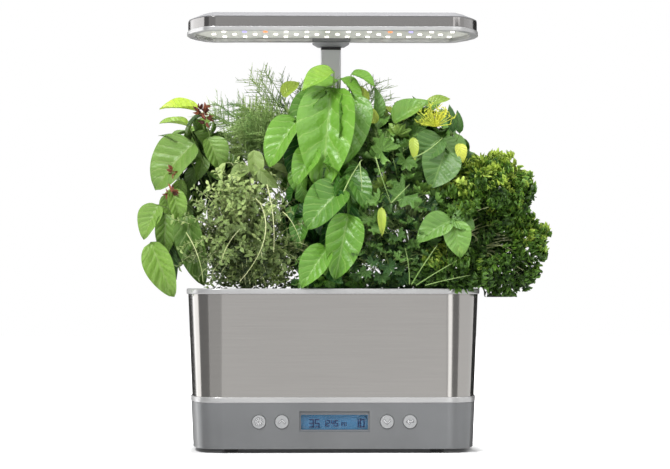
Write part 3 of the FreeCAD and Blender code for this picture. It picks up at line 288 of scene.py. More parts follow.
@dataclass(frozen=True)
class Brushed(Finish):
    """Metal brushed in one direction, with finger-fine lines and faint clouding."""

    roughness: float = 0.3
    along: Colour = (6.0, 6.0, 900.0)

    def make(self, sheet: NodeSheet) -> None:
        """Fill in the node sheet."""
        lines = sheet.noise(3.0, 6.0, self.along)
        clouds = sheet.noise(9.0, 2.0)
        streaks = sheet.ramp(lines, self.shade(0.93), self.shade(1.06), 0.25, 0.75)
        cloudy = sheet.ramp(clouds, self.shade(0.95), self.shade(1.05))
        half = sheet.sum("ADD", 0.35)
        sheet.paint(sheet.mix(half, streaks, cloudy))
        sheet.roughen(lines, 0.12, self.roughness - 0.06)
        sheet.set(Metallic=1.0)
        sheet.raise_surface(lines, 0.00002, 0.25)


@dataclass(frozen=True)
class Lit(Finish):
    """A screen or a diode that gives a little light of its own; the diode board uses it too, as a painted
    glow.
    """

    glow: float = 1.0
    roughness: float = 0.35

    def make(self, sheet: NodeSheet) -> None:
        """Fill in the node sheet."""
        cells = sheet.noise(160.0, 2.0)
        tint = sheet.ramp(cells, self.shade(0.93), self.shade(1.05))
        sheet.paint(tint)
        sheet.join(tint, sheet.shader.inputs["Emission Color"])
        sheet.set(Emission_Strength=self.glow, Roughness=self.roughness)


@dataclass(frozen=True)
class Clear(Finish):
    """Clear plastic in front of the screen."""

    def make(self, sheet: NodeSheet) -> None:
        """Fill in the node sheet."""
        haze = sheet.noise(60.0, 2.0)
        sheet.paint(sheet.ramp(haze, self.shade(0.97), self.shade(1.0)))
        sheet.set(Alpha=0.03, Roughness=0.3)


@dataclass(frozen=True)
class LeafSkin(Finish):
    """A leaf's skin: dark, light and accent leaves by their tone, which carries painted light and shade as
    well as random variation, pale veins and soft mottling.
    """

    light: Colour = (0.3, 0.5, 0.08)
    vein: Colour = (0.4, 0.55, 0.2)
    side_veins: float = 7.0
    roughness: float = 0.42
    vein_share: float = 0.32
    accent: Colour = (0.5, 0.6, 0.05)
    edge_lift: float = 0.0

    def make(self, sheet: NodeSheet) -> None:
        """Fill in the node sheet."""
        tone = sheet.add("ShaderNodeAttribute", attribute_name="tone").outputs["Fac"]
        apart = sheet.add("ShaderNodeSeparateXYZ")
        sheet.join(sheet.place.outputs["UV"], apart.inputs[0])
        along = apart.outputs["Y"]
        across = sheet.sum("ABSOLUTE", sheet.sum("SUBTRACT", apart.outputs["X"], 0.5))
        mottle = sheet.noise(70.0, 4.0)
        slant = sheet.sum("MULTIPLY", sheet.sum("POWER", across, 0.75), 0.55)
        wander = sheet.sum("MULTIPLY", mottle, 0.12)
        height = sheet.sum("ADD", sheet.sum("SUBTRACT", along, slant), wander)
        steps = sheet.sum("FRACT", sheet.sum("MULTIPLY", height, self.side_veins))
        wave = sheet.sum("ABSOLUTE", sheet.sum("SUBTRACT", steps, 0.5))
        side_line = sheet.sum("LESS_THAN", wave, 0.05)
        middle_line = sheet.sum("LESS_THAN", across, 0.018)
        veins = sheet.sum("MULTIPLY", sheet.sum("MAXIMUM", side_line, middle_line), self.vein_share)
        edge = sheet.sum("MULTIPLY", sheet.sum("POWER", along, 2.0), self.edge_lift)
        blend = sheet.sum("ADD", sheet.sum("ADD", tone, edge), sheet.sum("MULTIPLY", mottle, 0.26))
        skin = sheet.ramp(sheet.sum("SUBTRACT", blend, 0.13), self.colour, self.accent, 0.0, 1.0)
        bright = skin.node.color_ramp.elements.new(0.68)
        bright.color = (*self.light, 1)
        sheet.paint(sheet.mix(veins, skin, self.vein))
        sheet.roughen(mottle, 0.2, self.roughness - 0.1)
        relief = sheet.sum("ADD", sheet.sum("SUBTRACT", wave, veins), sheet.noise(260.0, 2.0))
        sheet.raise_surface(relief, 0.0010, 0.6)


@dataclass(frozen=True)
class StemSkin(Finish):
    """A soft green or pink stem."""

    far: Colour = (0.4, 0.5, 0.25)

    def make(self, sheet: NodeSheet) -> None:
        """Fill in the node sheet."""
        streaks = sheet.noise(40.0, 3.0, (1, 1, 0.3))
        sheet.paint(sheet.ramp(streaks, self.colour, self.far))
        sheet.set(Roughness=0.5)
        sheet.raise_surface(streaks, 0.0002, 0.4)


STEEL = Brushed("steel_brushed_level", (0.47, 0.455, 0.435), 0.15)
LAMP_STEEL = Brushed("lamp_band_brushed", (0.30, 0.29, 0.285), 0.15)
MAST = Moulded("mast_satin", (0.66, 0.66, 0.69), 0.35, 2600.0, 0.00001)
CONTACT = Brushed("contact_metal", (0.72, 0.58, 0.3), 0.25)
SCREW = Brushed("screw_metal", (0.5, 0.5, 0.5), 0.3, (200.0, 200.0, 200.0))
SILVER = Moulded("silver_trim", (0.52, 0.52, 0.52), 0.3, 2600.0, 0.00001, 0.7)
BASE_GREY = Moulded("base_grey", (0.185, 0.19, 0.195), 0.33, metal=0.5)
BLACK = Moulded("black_moulding", (0.018, 0.018, 0.02), 0.5)
RUBBER = Moulded("foot_rubber", (0.02, 0.02, 0.02), 0.8, 900.0)
BUTTON = Moulded("button_cap", (0.30, 0.305, 0.31), 0.3, 2600.0, 0.00001)
ICON = Moulded("icon_ink", (0.055, 0.055, 0.06), 0.5)
ICON_PALE = Moulded("icon_pale", (0.62, 0.62, 0.63), 0.4)
INK = Moulded("screen_ink", (0.004, 0.02, 0.09), 0.5)
BEZEL = Moulded("display_frame", (0.13, 0.14, 0.15), 0.35)
COVER = Moulded("lamp_cover_silver", (0.21, 0.21, 0.22), 0.5)
# The diode board glows faintly though it gives no light of its own: a painted glow
BOARD_PAINTED_GLOW = Lit("diode_board_painted_glow", (0.60, 0.60, 0.55), 0.12)
BOARD_GREEN = Moulded("control_board_green", (0.02, 0.13, 0.05), 0.4)
COLLAR = Moulded("collar_grey", (0.36, 0.37, 0.35), 0.55)
FOAM = Moulded("filter_foam", (0.03, 0.03, 0.03), 0.9, 500.0, 0.0006)
SPONGE = Moulded("growing_sponge", (0.05, 0.03, 0.018), 0.9, 420.0, 0.0008)
FLOAT = Moulded("float_orange", (0.55, 0.16, 0.04), 0.4)
SCREEN = Lit("screen_blue", (0.02, 0.19, 0.40), 0.45)
WINDOW = Clear("window_clear", (0.9, 0.95, 1.0))
WHITE_DIODE = Lit("diode_white", (1.0, 0.96, 0.86), 3.0)
RED_DIODE = Lit("diode_red", (1.0, 0.16, 0.03), 2.2)
BLUE_DIODE = Lit("diode_blue", (0.30, 0.26, 0.95), 1.6)

NODE_FINISHES: dict[str, Finish] = {
    "foot_pads": RUBBER, "base_bottom_plate": BLACK, "base_screws": SCREW, "display_bezel": BEZEL,
    "display_window": WINDOW, "lcd_panel": SCREEN, "control_board": BOARD_GREEN,
    "tact_switches": BLACK, "dc_jack": BLACK, "base_contacts": CONTACT, "tower_foot": BLACK,
    "tower_screws": SCREW, "tower_bush": BLACK, "detent_housing": BLACK, "detent_plunger": CONTACT,
    "detent_spring": SCREW, "mid_mast_shoe": BLACK, "mid_mast_bush": BLACK, "inner_mast": MAST,
    "inner_mast_shoe": BLACK, "bracket_screws": SCREW, "led_board": BOARD_PAINTED_GLOW,
    "led_driver": BLACK, "white_leds": WHITE_DIODE, "red_leds": RED_DIODE, "blue_leds": BLUE_DIODE,
    "bowl_tank": BLACK, "bowl_contacts": CONTACT, "pump_housing": BLACK, "pump_impeller": BUTTON,
    "pump_filter": FOAM, "pump_cover": BLACK, "grow_deck": BLACK, "gauge_float": FLOAT,
    "pod_baskets": BLACK, "grow_sponges": SPONGE,
}


# Pieces made from the solids, with soft edges


@dataclass(frozen=True)
class Softened:
    """A rigid solid that gets rounded edges and smooth walls."""

    node: str
    body: Body
    finish: Finish
    edge: float = 0.3

    def build(self, nodes: dict[str, bpy.types.Object]) -> None:
        """Make the softened piece and hide the solid.

        Args:
            nodes: The solids by name.
        """
        bm = bmesh.new()
        bm.from_mesh(nodes[self.node].data)
        bmesh.ops.remove_doubles(bm, verts=bm.verts, dist=0.000002)
        bmesh.ops.dissolve_limit(bm, angle_limit=math.radians(0.4), verts=bm.verts, edges=bm.edges)
        piece = as_piece(bm, f"{self.node}_soft", self.finish)
        bevel = piece.modifiers.new("round_edges", "BEVEL")
        bevel.width = self.edge * MM
        bevel.segments = 2
        bevel.limit_method = "ANGLE"
        bevel.angle_limit = math.radians(35)
        bevel.use_clamp_overlap = True
        piece.modifiers.new("even_walls", "WEIGHTED_NORMAL").weight = 80
        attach(piece, self.body.value)
        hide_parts(self.node)
        LOG.info("softened %s", self.node)


def put(name: str, data: bpy.types.ID) -> bpy.types.Object:
    """Return a new object that holds some data, linked into the scene."""
    item = bpy.data.objects.new(name, data)
    bpy.context.scene.collection.objects.link(item)
    return item


def as_object(bm: bmesh.types.BMesh, name: str, *materials: bpy.types.Material) -> bpy.types.Object:
    """Turn a bmesh into an object with its materials, and free the bmesh."""
    mesh = bpy.data.meshes.new(name)
    bm.to_mesh(mesh)
    bm.free()
    for material in materials:
        mesh.materials.append(material)
    return put(name, mesh)


def as_piece(bm: bmesh.types.BMesh, name: str, *finishes: Finish) -> bpy.types.Object:
    """Turn a bmesh into a smooth-shaded object with its finishes.

    Args:
        bm: The shape, which is freed.
        name: The piece's name.
        finishes: Its finishes, in the order of its material numbers.

    Returns:
        The object, linked into the scene.
    """
    for face in bm.faces:
        face.smooth = True
    return as_object(bm, name, *(finish.material() for finish in finishes))


SOFTENED = (
    Softened("base_housing", Body.BASE, BASE_GREY, 0.5),
    Softened("mast_tower", Body.BASE, MAST, 0.2),
    Softened("mid_mast", Body.MIDDLE_MAST, MAST, 0.2),
    Softened("light_button", Body.LIGHT_KEY, BUTTON, 0.35),
    Softened("up_button", Body.UP_KEY, BUTTON, 0.35),
    Softened("down_button", Body.DOWN_KEY, BUTTON, 0.35),
    Softened("select_button", Body.SELECT_KEY, BUTTON, 0.35),
    Softened("bowl_steel_wrap", Body.BOWL, STEEL, 0.15),
    Softened("bowl_top_rim", Body.BOWL, SILVER, 0.9),
    Softened("bowl_bottom_trim", Body.BOWL, SILVER, 0.6),
    Softened("pod_collars", Body.DECK, COLLAR, 0.3),
    Softened("lamp_bracket", Body.LAMP, COVER, 0.4),
    Softened("lamp_cover", Body.LAMP, COVER, 0.6),
    Softened("lamp_band", Body.LAMP, LAMP_STEEL, 0.3),
    Softened("lamp_bezel", Body.LAMP, SILVER, 0.6),
)


# Front panel


SEGMENT_ENDS = {
    "a": ((0, 2), (1, 2)), "b": ((1, 2), (1, 1)), "c": ((1, 1), (1, 0)), "d": ((0, 0), (1, 0)),
    "e": ((0, 1), (0, 0)), "f": ((0, 2), (0, 1)), "g": ((0, 1), (1, 1)),
}
DIGITS = {
    "0": "abcdef", "1": "bc", "2": "abdeg", "3": "abcdg", "4": "bcfg", "5": "acdfg",
    "P": "abefg", "M": "abcef",
}


@dataclass(frozen=True)
class FrontPanel:
    """The button icons and the numbers on the screen."""

    button_height: float = 27.9
    outer_x: float = 67.1
    inner_x: float = 46.7
    button_face: float = -71.80
    screen_face: float = -66.72

    def bar(self, bm: bmesh.types.BMesh, start: tuple[float, float], end: tuple[float, float],
            width: float, face: float, number: int = 0) -> None:
        """Add one printed stroke, seen from the front.

        Args:
            bm: The shape that it is added to.
            start: One end, across and up, in millimetres.
            end: The other end.
            width: The stroke's width.
            face: Where the surface behind it stands.
            number: Its material's number.
        """
        run = Vector((end[0] - start[0], 0, end[1] - start[1]))
        middle = Vector(((start[0] + end[0]) / 2, face, (start[1] + end[1]) / 2))
        turn = Matrix.Rotation(-math.atan2(run.z, run.x), 4, "Y")
        size = Matrix.Diagonal((run.length + width * 0.8, 0.12, width, 1))
        made = bmesh.ops.create_cube(bm, size=1.0, matrix=Matrix.Translation(middle) @ turn @ size)
        for side in {side for vert in made["verts"] for side in vert.link_faces}:
            side.material_index = number
        edges = list({edge for vert in made["verts"] for edge in vert.link_edges})
        bmesh.ops.bevel(bm, geom=edges, offset=0.04, segments=1, profile=0.5, affect="EDGES", material=-1)

    def icon(self, name: str, x: float, strokes: list, body: Body) -> None:
        """Make one button's icon: pale strokes with a dark outline.

        Args:
            name: The icon's name.
            x: The button's middle.
            strokes: Pairs of points about that middle.
            body: The button that it moves with.
        """
        bm = bmesh.new()
        for number, (width, proud) in enumerate(((1.5, 0.0), (0.7, 0.06))):
            for stroke in strokes:
                start, end = ((x + point[0], self.button_height + point[1]) for point in stroke)
                self.bar(bm, start, end, width, self.button_face - proud, number)
        bmesh.ops.scale(bm, vec=(MM, MM, MM), verts=bm.verts)
        piece = as_piece(bm, name, ICON, ICON_PALE)
        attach(piece, body.value)

    def figures(self, name: str, text: str, left: float, low: float, size: tuple[float, float]) -> None:
        """Put generic segment figures on the screen.

        Args:
            name: The piece's name.
            text: The figures.
            left: Where they begin.
            low: Their lowest edge.
            size: One figure's width and height.
        """
        bm = bmesh.new()
        for figure in text:
            if figure == ":":
                for share in (0.3, 0.7):
                    up = low + share * size[1]
                    self.bar(bm, (left, up), (left + 0.1, up), 0.45, self.screen_face)
                left += 0.9
                continue
            for segment in DIGITS[figure]:
                start, end = ((left + x * size[0], low + z * size[1] / 2) for x, z in SEGMENT_ENDS[segment])
                self.bar(bm, start, end, 0.21 * size[1] ** 0.8, self.screen_face)
            left += size[0] * 1.6
        bmesh.ops.scale(bm, vec=(MM, MM, MM), verts=bm.verts)
        piece = as_piece(bm, name, INK)
        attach(piece, Body.BASE.value)

    def build(self) -> None:
        """Make the icons and the screen's figures."""
        angles = [step * math.pi / 4 for step in range(8)]
        rays = [[(reach * math.cos(angle), reach * math.sin(angle)) for reach in (1.0, 3.2)]
                for angle in angles]
        rising = [((-2.8, -1.2), (0, 1.6)), ((0, 1.6), (2.8, -1.2))]
        falling = [((-2.8, 1.2), (0, -1.6)), ((0, -1.6), (2.8, 1.2))]
        self.icon("icon_light", -self.outer_x, rays, Body.LIGHT_KEY)
        self.icon("icon_up", -self.inner_x, rising, Body.UP_KEY)
        self.icon("icon_down", self.inner_x, falling, Body.DOWN_KEY)
        arrow = [((-2.4, 0), (2.4, 0)), ((-2.4, 0), (-0.6, 1.7)), ((-2.4, 0), (-0.6, -1.7)),
                 ((2.4, 0), (2.4, 1.6))]
        self.icon("icon_select", self.outer_x, arrow, Body.SELECT_KEY)
        self.figures("figures_left", "35", -22.0, 23.2, (3.2, 6.4))
        self.figures("figures_clock", "12:45", -10.0, 24.0, (2.1, 4.8))
        self.figures("figures_half_day", "PM", 6.4, 24.0, (1.6, 3.0))
        self.figures("figures_right", "10", 18.0, 23.2, (3.2, 6.4))
        LOG.info("front panel: four icons and the screen's figures")


# Herbs


@dataclass(frozen=True)
class LeafShape:
    """The form of one leaf, in shares of its own length and width."""

    cells_long: int
    cells_wide: int
    shoulder: float = 0.55
    point: float = 0.85
    fold: float = 0.25
    droop: float = 0.35
    pucker: float = 0.02
    teeth: int = 0
    tooth: float = 0.0
    ruffle: float = 0.0
    fan: bool = False

    def half_width(self, v: float) -> float:
        """Return the half width at a share of the length, at most one half."""
        peak = self.shoulder / (self.shoulder + self.point)
        rise = (max(v, 0.0) / peak) ** self.shoulder
        fall = (max(1.0 - v, 0.0) / (1.0 - peak)) ** self.point
        return 0.5 * rise * fall

    def bend(self, u: float, v: float, phase: float) -> Vector:
        """Return where a point of the flat grid goes.

        Args:
            u: Across, from -1 to 1.
            v: Along, from 0 to 1.
            phase: How far the ruffles are turned.

        Returns:
            The point on a leaf one unit long and one wide.
        """
        if self.fan:
            angle = u * 2.5
            edge = 1.0 + self.tooth * (1 - 2 * abs(math.sin(0.5 * self.teeth * angle + phase)))
            rise = self.ruffle * v ** 1.5 * math.sin(self.teeth * 1.5 * angle + phase) + 0.25 * v * v
            reach = 0.5 * v * edge
            return Vector((reach * math.sin(angle), 0.45 + reach * math.cos(angle), rise))
        half = self.half_width(v)
        if self.teeth:
            half *= 1.0 + self.tooth * math.cos(self.teeth * v * 2 * math.pi) * abs(u) ** 3
        x = u * half
        row = math.sin(math.pi * 11 * (v - 0.3 * abs(u)))
        quilt = self.pucker * row * math.sin(math.pi * min(abs(u) * 1.1, 1))
        curl = self.ruffle * abs(u) ** 2 * math.sin(8 * v + phase + (2.0 if u > 0 else 0.0))
        twist = 0.06 * x * math.sin(3 * v + phase)
        return Vector((x, v, self.fold * abs(x) - self.droop * v * v + quilt + curl + twist))

    def blank(self, name: str, phase: float) -> bpy.types.Mesh:
        """Return one unit leaf, ready to be copied.

        Args:
            name: The mesh's name.
            phase: How far its ruffles are turned.

        Returns:
            The mesh, with a map that runs across and along the leaf.
        """
        bm = bmesh.new()
        bmesh.ops.create_grid(bm, x_segments=self.cells_wide, y_segments=self.cells_long, size=1.0)
        layer = bm.loops.layers.uv.new("UVMap")
        for face in bm.faces:
            face.smooth = True
            for loop in face.loops:
                loop[layer].uv = ((loop.vert.co.x + 1) / 2, (loop.vert.co.y + 1) / 2)
        for vert in bm.verts:
            vert.co = self.bend(vert.co.x, (vert.co.y + 1) / 2, phase)
        mesh = bpy.data.meshes.new(name)
        bm.to_mesh(mesh)
        bm.free()
        return mesh


BROAD_LEAF = LeafShape(20, 12, 0.5, 0.7, 0.42, 0.28, 0.030, ruffle=0.03)
BASIL_LEAF = LeafShape(9, 6, 0.55, 0.8, 0.35, 0.3, 0.02, ruffle=0.03)
THAI_LEAF = LeafShape(10, 6, 0.6, 0.9, 0.3, 0.3, 0.012, ruffle=0.03)
MINT_LEAF = LeafShape(12, 6, 0.5, 0.65, 0.3, 0.25, 0.02, 6, 0.08, 0.03)
NARROW_LEAF = LeafShape(6, 4, 0.7, 0.9, 0.3, 0.3, 0.0)
THYME_LEAF = LeafShape(3, 2, 0.6, 0.7, 0.35, 0.12, 0.0)
CUT_LEAF = LeafShape(3, 36, teeth=9, tooth=0.22, ruffle=0.09, fan=True)
CURLY_LEAF = LeafShape(2, 16, teeth=4, tooth=0.22, ruffle=0.34, fan=True)


class Lean(Enum):
    """How leaves stand on the outside of a cloud: shares of outwards, down and up."""

    HANGING = (0.25, 0.85, 0.30)
    SPREADING = (0.60, 0.30, 0.45)


@dataclass(frozen=True)
class Mass:
    """A rounded mass, in millimetres."""

    middle: Place
    half: Place

    def point(self, way: Vector, reach: float) -> Vector:
        """Return a place in the mass, along a direction and at a share of the way out."""
        return Vector(tuple(self.middle[i] + way[i] * reach * self.half[i] for i in range(3)))


@dataclass(frozen=True)
class Cloud(Mass):
    """A rounded mass covered with leaves."""

    leaves: int
    shape: LeafShape
    length: float
    width: float
    tone: float = 0.4
    lean: Lean = Lean.SPREADING
    spread: float = 0.2

    def ways(self) -> list[Vector]:
        """Return directions spaced evenly all round."""
        found = []
        for number in range(self.leaves):
            height = 1 - 2 * (number + 0.5) / self.leaves
            ring = math.sqrt(1 - height * height)
            turn = number * GOLDEN_TURN
            found.append(Vector((ring * math.cos(turn), ring * math.sin(turn), height)))
        return found

    def outward(self, way: Vector) -> Vector:
        """Return the direction that the cloud's skin faces there."""
        return Vector(tuple(way[i] / self.half[i] for i in range(3))).normalized()


@dataclass(frozen=True)
class Sprigs(Mass):
    """Thin stems that fill a rounded mass, with small leaves or tufts along them."""

    stems: int
    inner: float = 0.45
    tone: float = 0.4


@dataclass(frozen=True)
class KeyLeaf:
    """A single leaf that the eye goes to: its base and tip, in millimetres, and its width."""

    base: Place
    tip: Place
    width: float
    tone: float = 0.5
    facing: Place = (0.0, -1.0, 0.5)
    shape: LeafShape = BROAD_LEAF


def keep_clear(point: Vector) -> Vector:
    """Keep a point, in metres, over the deck and the rim, under the lamp and off the mast."""
    x = min(max(point.x, REACH_X[0]), REACH_X[1])
    y = min(max(point.y, REACH_Y[0]), REACH_Y[1])
    z = min(point.z, REACH_TOP)
    if abs(x) < INSIDE_RIM[0] and abs(y) < INSIDE_RIM[1]:
        lowest = LOWEST_INSIDE
    elif abs(x) < OUTSIDE_RIM[0] and abs(y) < OUTSIDE_RIM[1]:
        lowest = LOWEST_ON_RIM
    else:
        lowest = LOWEST_OUTSIDE
    return Vector((x, y, max(z, lowest)))


def clear_line(*points: Vector) -> list[Vector]:
    """Keep the points of a line, in millimetres, clear of the deck, the lamp and the mast."""
    return [keep_clear(point * MM) / MM for point in points]


def stray(rng: random.Random) -> Vector:
    """Return a random step, as likely in one direction as in another."""
    return Vector((rng.gauss(0, 1), rng.gauss(0, 1), rng.gauss(0, 1)))


def within(tone: float, highest: float) -> float:
    """Return a tone kept between 0 and a highest value."""
    return min(max(tone, 0), highest)


def leaf_draft() -> bmesh.types.BMesh:
    """Return an empty shape that leaves can be copied into."""
    bm = bmesh.new()
    bm.loops.layers.uv.new("UVMap")
    bm.verts.layers.float.new("tone")
    return bm


def leaf_frame(base: Vector, along: Vector, face: Vector, length: float, width: float) -> Matrix:
    """Return the matrix that puts a unit leaf in its place, in millimetres."""
    along = along.normalized()
    side = along.cross(face)
    if side.length < 0.05:
        side = along.orthogonal()
    side.normalize()
    up = side.cross(along)
    turn = Matrix((side * width, along * length, up * length)).transposed().to_4x4()
    return Matrix.Translation(base) @ turn


def copy_leaf(bm: bmesh.types.BMesh, blank: bpy.types.Mesh, matrix: Matrix, tone: float) -> None:
    """Copy a leaf into a herb.

    Args:
        bm: The herb's leaves.
        blank: The unit leaf.
        matrix: Its place, in millimetres.
        tone: How light it is, from 0 to 1.
    """
    first = len(bm.verts)
    bm.from_mesh(blank)
    bm.verts.ensure_lookup_table()
    layer = bm.verts.layers.float["tone"]
    for vert in bm.verts[first:]:
        vert.co = keep_clear((matrix @ vert.co) * MM)
        vert[layer] = tone


def arc(start: Vector, middle: Vector, end: Vector, steps: int = 10) -> list[Vector]:
    """Return points on a smooth curve that starts and ends at two points and leans to a third."""
    shares = [step / steps for step in range(steps + 1)]
    return [start * (1 - t) ** 2 + middle * (2 * t * (1 - t)) + end * t * t for t in shares]


def stem_line(pod: tuple[float, float], tip: Vector, rng: random.Random) -> list[Vector]:
    """Return the points of one stem, in millimetres.

    Args:
        pod: The middle of the pod that it grows from.
        tip: Where it ends.
        rng: The herb's source of chance.

    Returns:
        The points from the pod to the tip.
    """
    angle = rng.uniform(0, 2 * math.pi)
    x, y = pod[0] + STEM_CIRCLE * math.cos(angle), pod[1] + STEM_CIRCLE * math.sin(angle)
    root = Vector((x, y, STEM_FOOT))
    straight = tip.z > STRAIGHT_FROM
    bend = root.lerp(tip, 0.35 if straight else 0.7)
    bend.z = root.z + (tip.z - root.z) * 0.75 + (12 if straight else 32)
    bend += Vector((rng.uniform(-6, 6), rng.uniform(-6, 6), 0))
    foot = root + Vector((0, 0, STEM_RISE))
    return [root, foot, *clear_line(*arc(foot, bend, tip, STEM_STEPS)[1:])]


def give_way(piece: bpy.types.Object) -> None:
    """Let a soft piece ride on the deck.

    Args:
        piece: The leaves or the stems.
    """
    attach(piece, Body.DECK.value)
    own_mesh(piece)


@dataclass
class Herb:
    """One herb: its stems, its leaves and its own finishes."""

    node: str
    pod: tuple[float, float]
    skin: LeafSkin
    stem: StemSkin
    slot: str
    seed: int
    clouds: tuple[Cloud, ...] = ()
    keys: tuple[KeyLeaf, ...] = ()
    sprigs: tuple[Sprigs, ...] = ()
    sprig_shape: LeafShape = THYME_LEAF
    sprig_size: tuple[float, float] = (5.6, 3.0)
    pairs: int = 14
    first_pair: float = 0.2
    tufts: int = 0
    tuft_size: float = 11.0
    stem_radius: float = 1.0
    pale_lines: tuple = ()
    lines: list = field(default_factory=list)
    blanks: dict = field(default_factory=dict)

    def blank(self, shape: LeafShape, rng: random.Random) -> bpy.types.Mesh:
        """Return one of three unit leaves of a shape, made when first asked for."""
        key = (shape, rng.randrange(3))
        if key not in self.blanks:
            self.blanks[key] = shape.blank(f"{self.node}_blank_{len(self.blanks)}", key[1] * 2.1)
        return self.blanks[key]

    def fill_cloud(self, bm: bmesh.types.BMesh, cloud: Cloud, rng: random.Random) -> None:
        """Cover a cloud with leaves that face outwards, lighter on top as painted light, over an inner
        layer painted darker as shade.
        """
        outwards, down, lift = cloud.lean.value
        for layer, depth in enumerate(LAYER_DEPTHS):
            for number, way in enumerate(cloud.ways()):
                if layer and number % 2:
                    continue
                place = cloud.point(way, depth * rng.uniform(*LEAF_REACH))
                skin = cloud.outward(way)
                along = (skin * outwards - Vector((0, 0, down)) + stray(rng) * LEAF_SWIRL).normalized()
                face = skin + Vector((rng.uniform(-0.3, 0.3), rng.uniform(-0.3, 0.1), lift))
                size = rng.uniform(*LEAF_SIZES)
                base = place - along * cloud.length * size * 0.5
                # Painted light and shade: leaves on top of the cloud are lighter and the inner layer is
                # darker; the rest of the tone varies at random
                tone = cloud.tone + TOP_LIGHT * way.z + rng.uniform(-cloud.spread, cloud.spread)
                tone -= INNER_SHADE * layer
                matrix = leaf_frame(base, along, face, cloud.length * size, cloud.width * size)
                copy_leaf(bm, self.blank(cloud.shape, rng), matrix, within(tone, LIGHTEST_LEAF))
                inside = cloud.point(way, depth * 0.45)
                knee = inside.lerp(base, 0.6) + Vector((0, 0, 3))
                self.lines.append(([inside, knee, base], TWIG_RADIUS))
        for number in range(CLOUD_STEMS):
            tip = cloud.point(cloud.ways()[number * cloud.leaves // CLOUD_STEMS], 0.4)
            self.lines.append((stem_line(self.pod, tip, rng), self.stem_radius * 1.5))

    def fill_sprigs(self, bm: bmesh.types.BMesh, sprigs: Sprigs, rng: random.Random) -> None:
        """Grow thin stems outwards, with pairs of small leaves or a head of tufts on each."""
        for _ in range(sprigs.stems):
            way = stray(rng).normalized()
            reach = rng.uniform(sprigs.inner, 1.0)
            line = stem_line(self.pod, sprigs.point(way, reach), rng)
            self.lines.append((line, self.stem_radius))
            # Painted light and shade: sprigs higher up and further out are lighter, inner ones darker; the
            # rest of the tone varies at random
            tone = sprigs.tone + 0.22 * way.z + 0.25 * (reach - 0.8) + rng.uniform(-0.22, 0.22)
            if self.tufts:
                self.head_of_tufts(bm, line[-1], way, tone, rng)
            else:
                self.pairs_along(bm, line, tone, rng)

    def pairs_along(self, bm: bmesh.types.BMesh, line: list, tone: float, rng: random.Random) -> None:
        """Put pairs of small leaves along a stem, each pair turned from the one below."""
        last = len(line) - 1
        turn = rng.uniform(0, math.pi)
        for number in range(self.pairs):
            share = self.first_pair + (1 - self.first_pair) * number / (self.pairs - 1)
            low = int(min(share * last, last - 0.001))
            base = line[low].lerp(line[low + 1], share * last - low)
            rise = (line[low + 1] - line[low]).normalized()
            turn += math.pi / 2 + rng.uniform(-0.4, 0.4)
            size = rng.uniform(*PAIR_SIZES)
            for side in (0, math.pi):
                spoke = Matrix.Rotation(turn + side, 3, rise) @ rise.orthogonal().normalized()
                along = spoke + rise * rng.uniform(0.2, 0.9)
                face = rise + Vector((rng.uniform(-0.4, 0.4), rng.uniform(-0.8, 0), rng.uniform(0, 0.4)))
                matrix = leaf_frame(base, along, face, self.sprig_size[0] * size, self.sprig_size[1] * size)
                shade = within(tone + rng.uniform(-0.12, 0.12), LIGHTEST_SPRIG)
                copy_leaf(bm, self.blank(self.sprig_shape, rng), matrix, shade)

    def head_of_tufts(self, bm: bmesh.types.BMesh, tip: Vector, way: Vector, tone: float,
                      rng: random.Random) -> None:
        """Put a rounded head of frilled tufts on a stem's tip."""
        for _ in range(self.tufts):
            turn = stray(rng).normalized()
            out = (turn + way * 0.9 + Vector((0, -0.1, 0.3))).normalized()
            base = tip + out * rng.uniform(*TUFT_REACH)
            size = self.tuft_size * rng.uniform(*TUFT_SIZES)
            # Painted light: tufts that face upwards are lighter; the rest of the shade varies at random
            shade = within(tone + 0.2 * (out.z - 0.3) + rng.uniform(-0.26, 0.26), LIGHTEST_SPRIG)
            matrix = leaf_frame(base, out + turn * 0.8, out, size, size)
            copy_leaf(bm, self.blank(self.sprig_shape, rng), matrix, shade)

    def place_keys(self, bm: bmesh.types.BMesh, rng: random.Random) -> None:
        """Place the leaves that the eye goes to, each on its own stalk."""
        for leaf in self.keys:
            base, tip = Vector(leaf.base), Vector(leaf.tip)
            matrix = leaf_frame(base, tip - base, Vector(leaf.facing), (tip - base).length, leaf.width)
            copy_leaf(bm, self.blank(leaf.shape, rng), matrix, leaf.tone)
            root = Vector((self.pod[0], self.pod[1], STALK_FOOT))
            knee = root.lerp(base, 0.55) + Vector((0, 8, 10))
            near = base.lerp(knee, 0.2) + Vector((0, 3, 2))
            self.lines.append(([root, knee, near, base], self.stem_radius))

    def build(self) -> None:
        """Grow the herb, and let it stand for its solid."""
        rng = random.Random(self.seed)
        bm = leaf_draft()
        for cloud in self.clouds:
            self.fill_cloud(bm, cloud, rng)
        for sprigs in self.sprigs:
            self.fill_sprigs(bm, sprigs, rng)
        self.place_keys(bm, rng)
        for start, middle, end, radius in self.pale_lines:
            self.lines.append((arc(Vector(start), Vector(middle), Vector(end)), radius * 0.7))
        leaves = as_piece(bm, f"{self.node}_leaves", self.skin)
        give_way(leaves)
        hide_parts(self.node)
        give_way(stems_piece(f"{self.node}_stems", self.lines, self.stem))
        LOG.info("%s: %d stems, %d faces", self.node, len(self.lines), len(leaves.data.polygons))


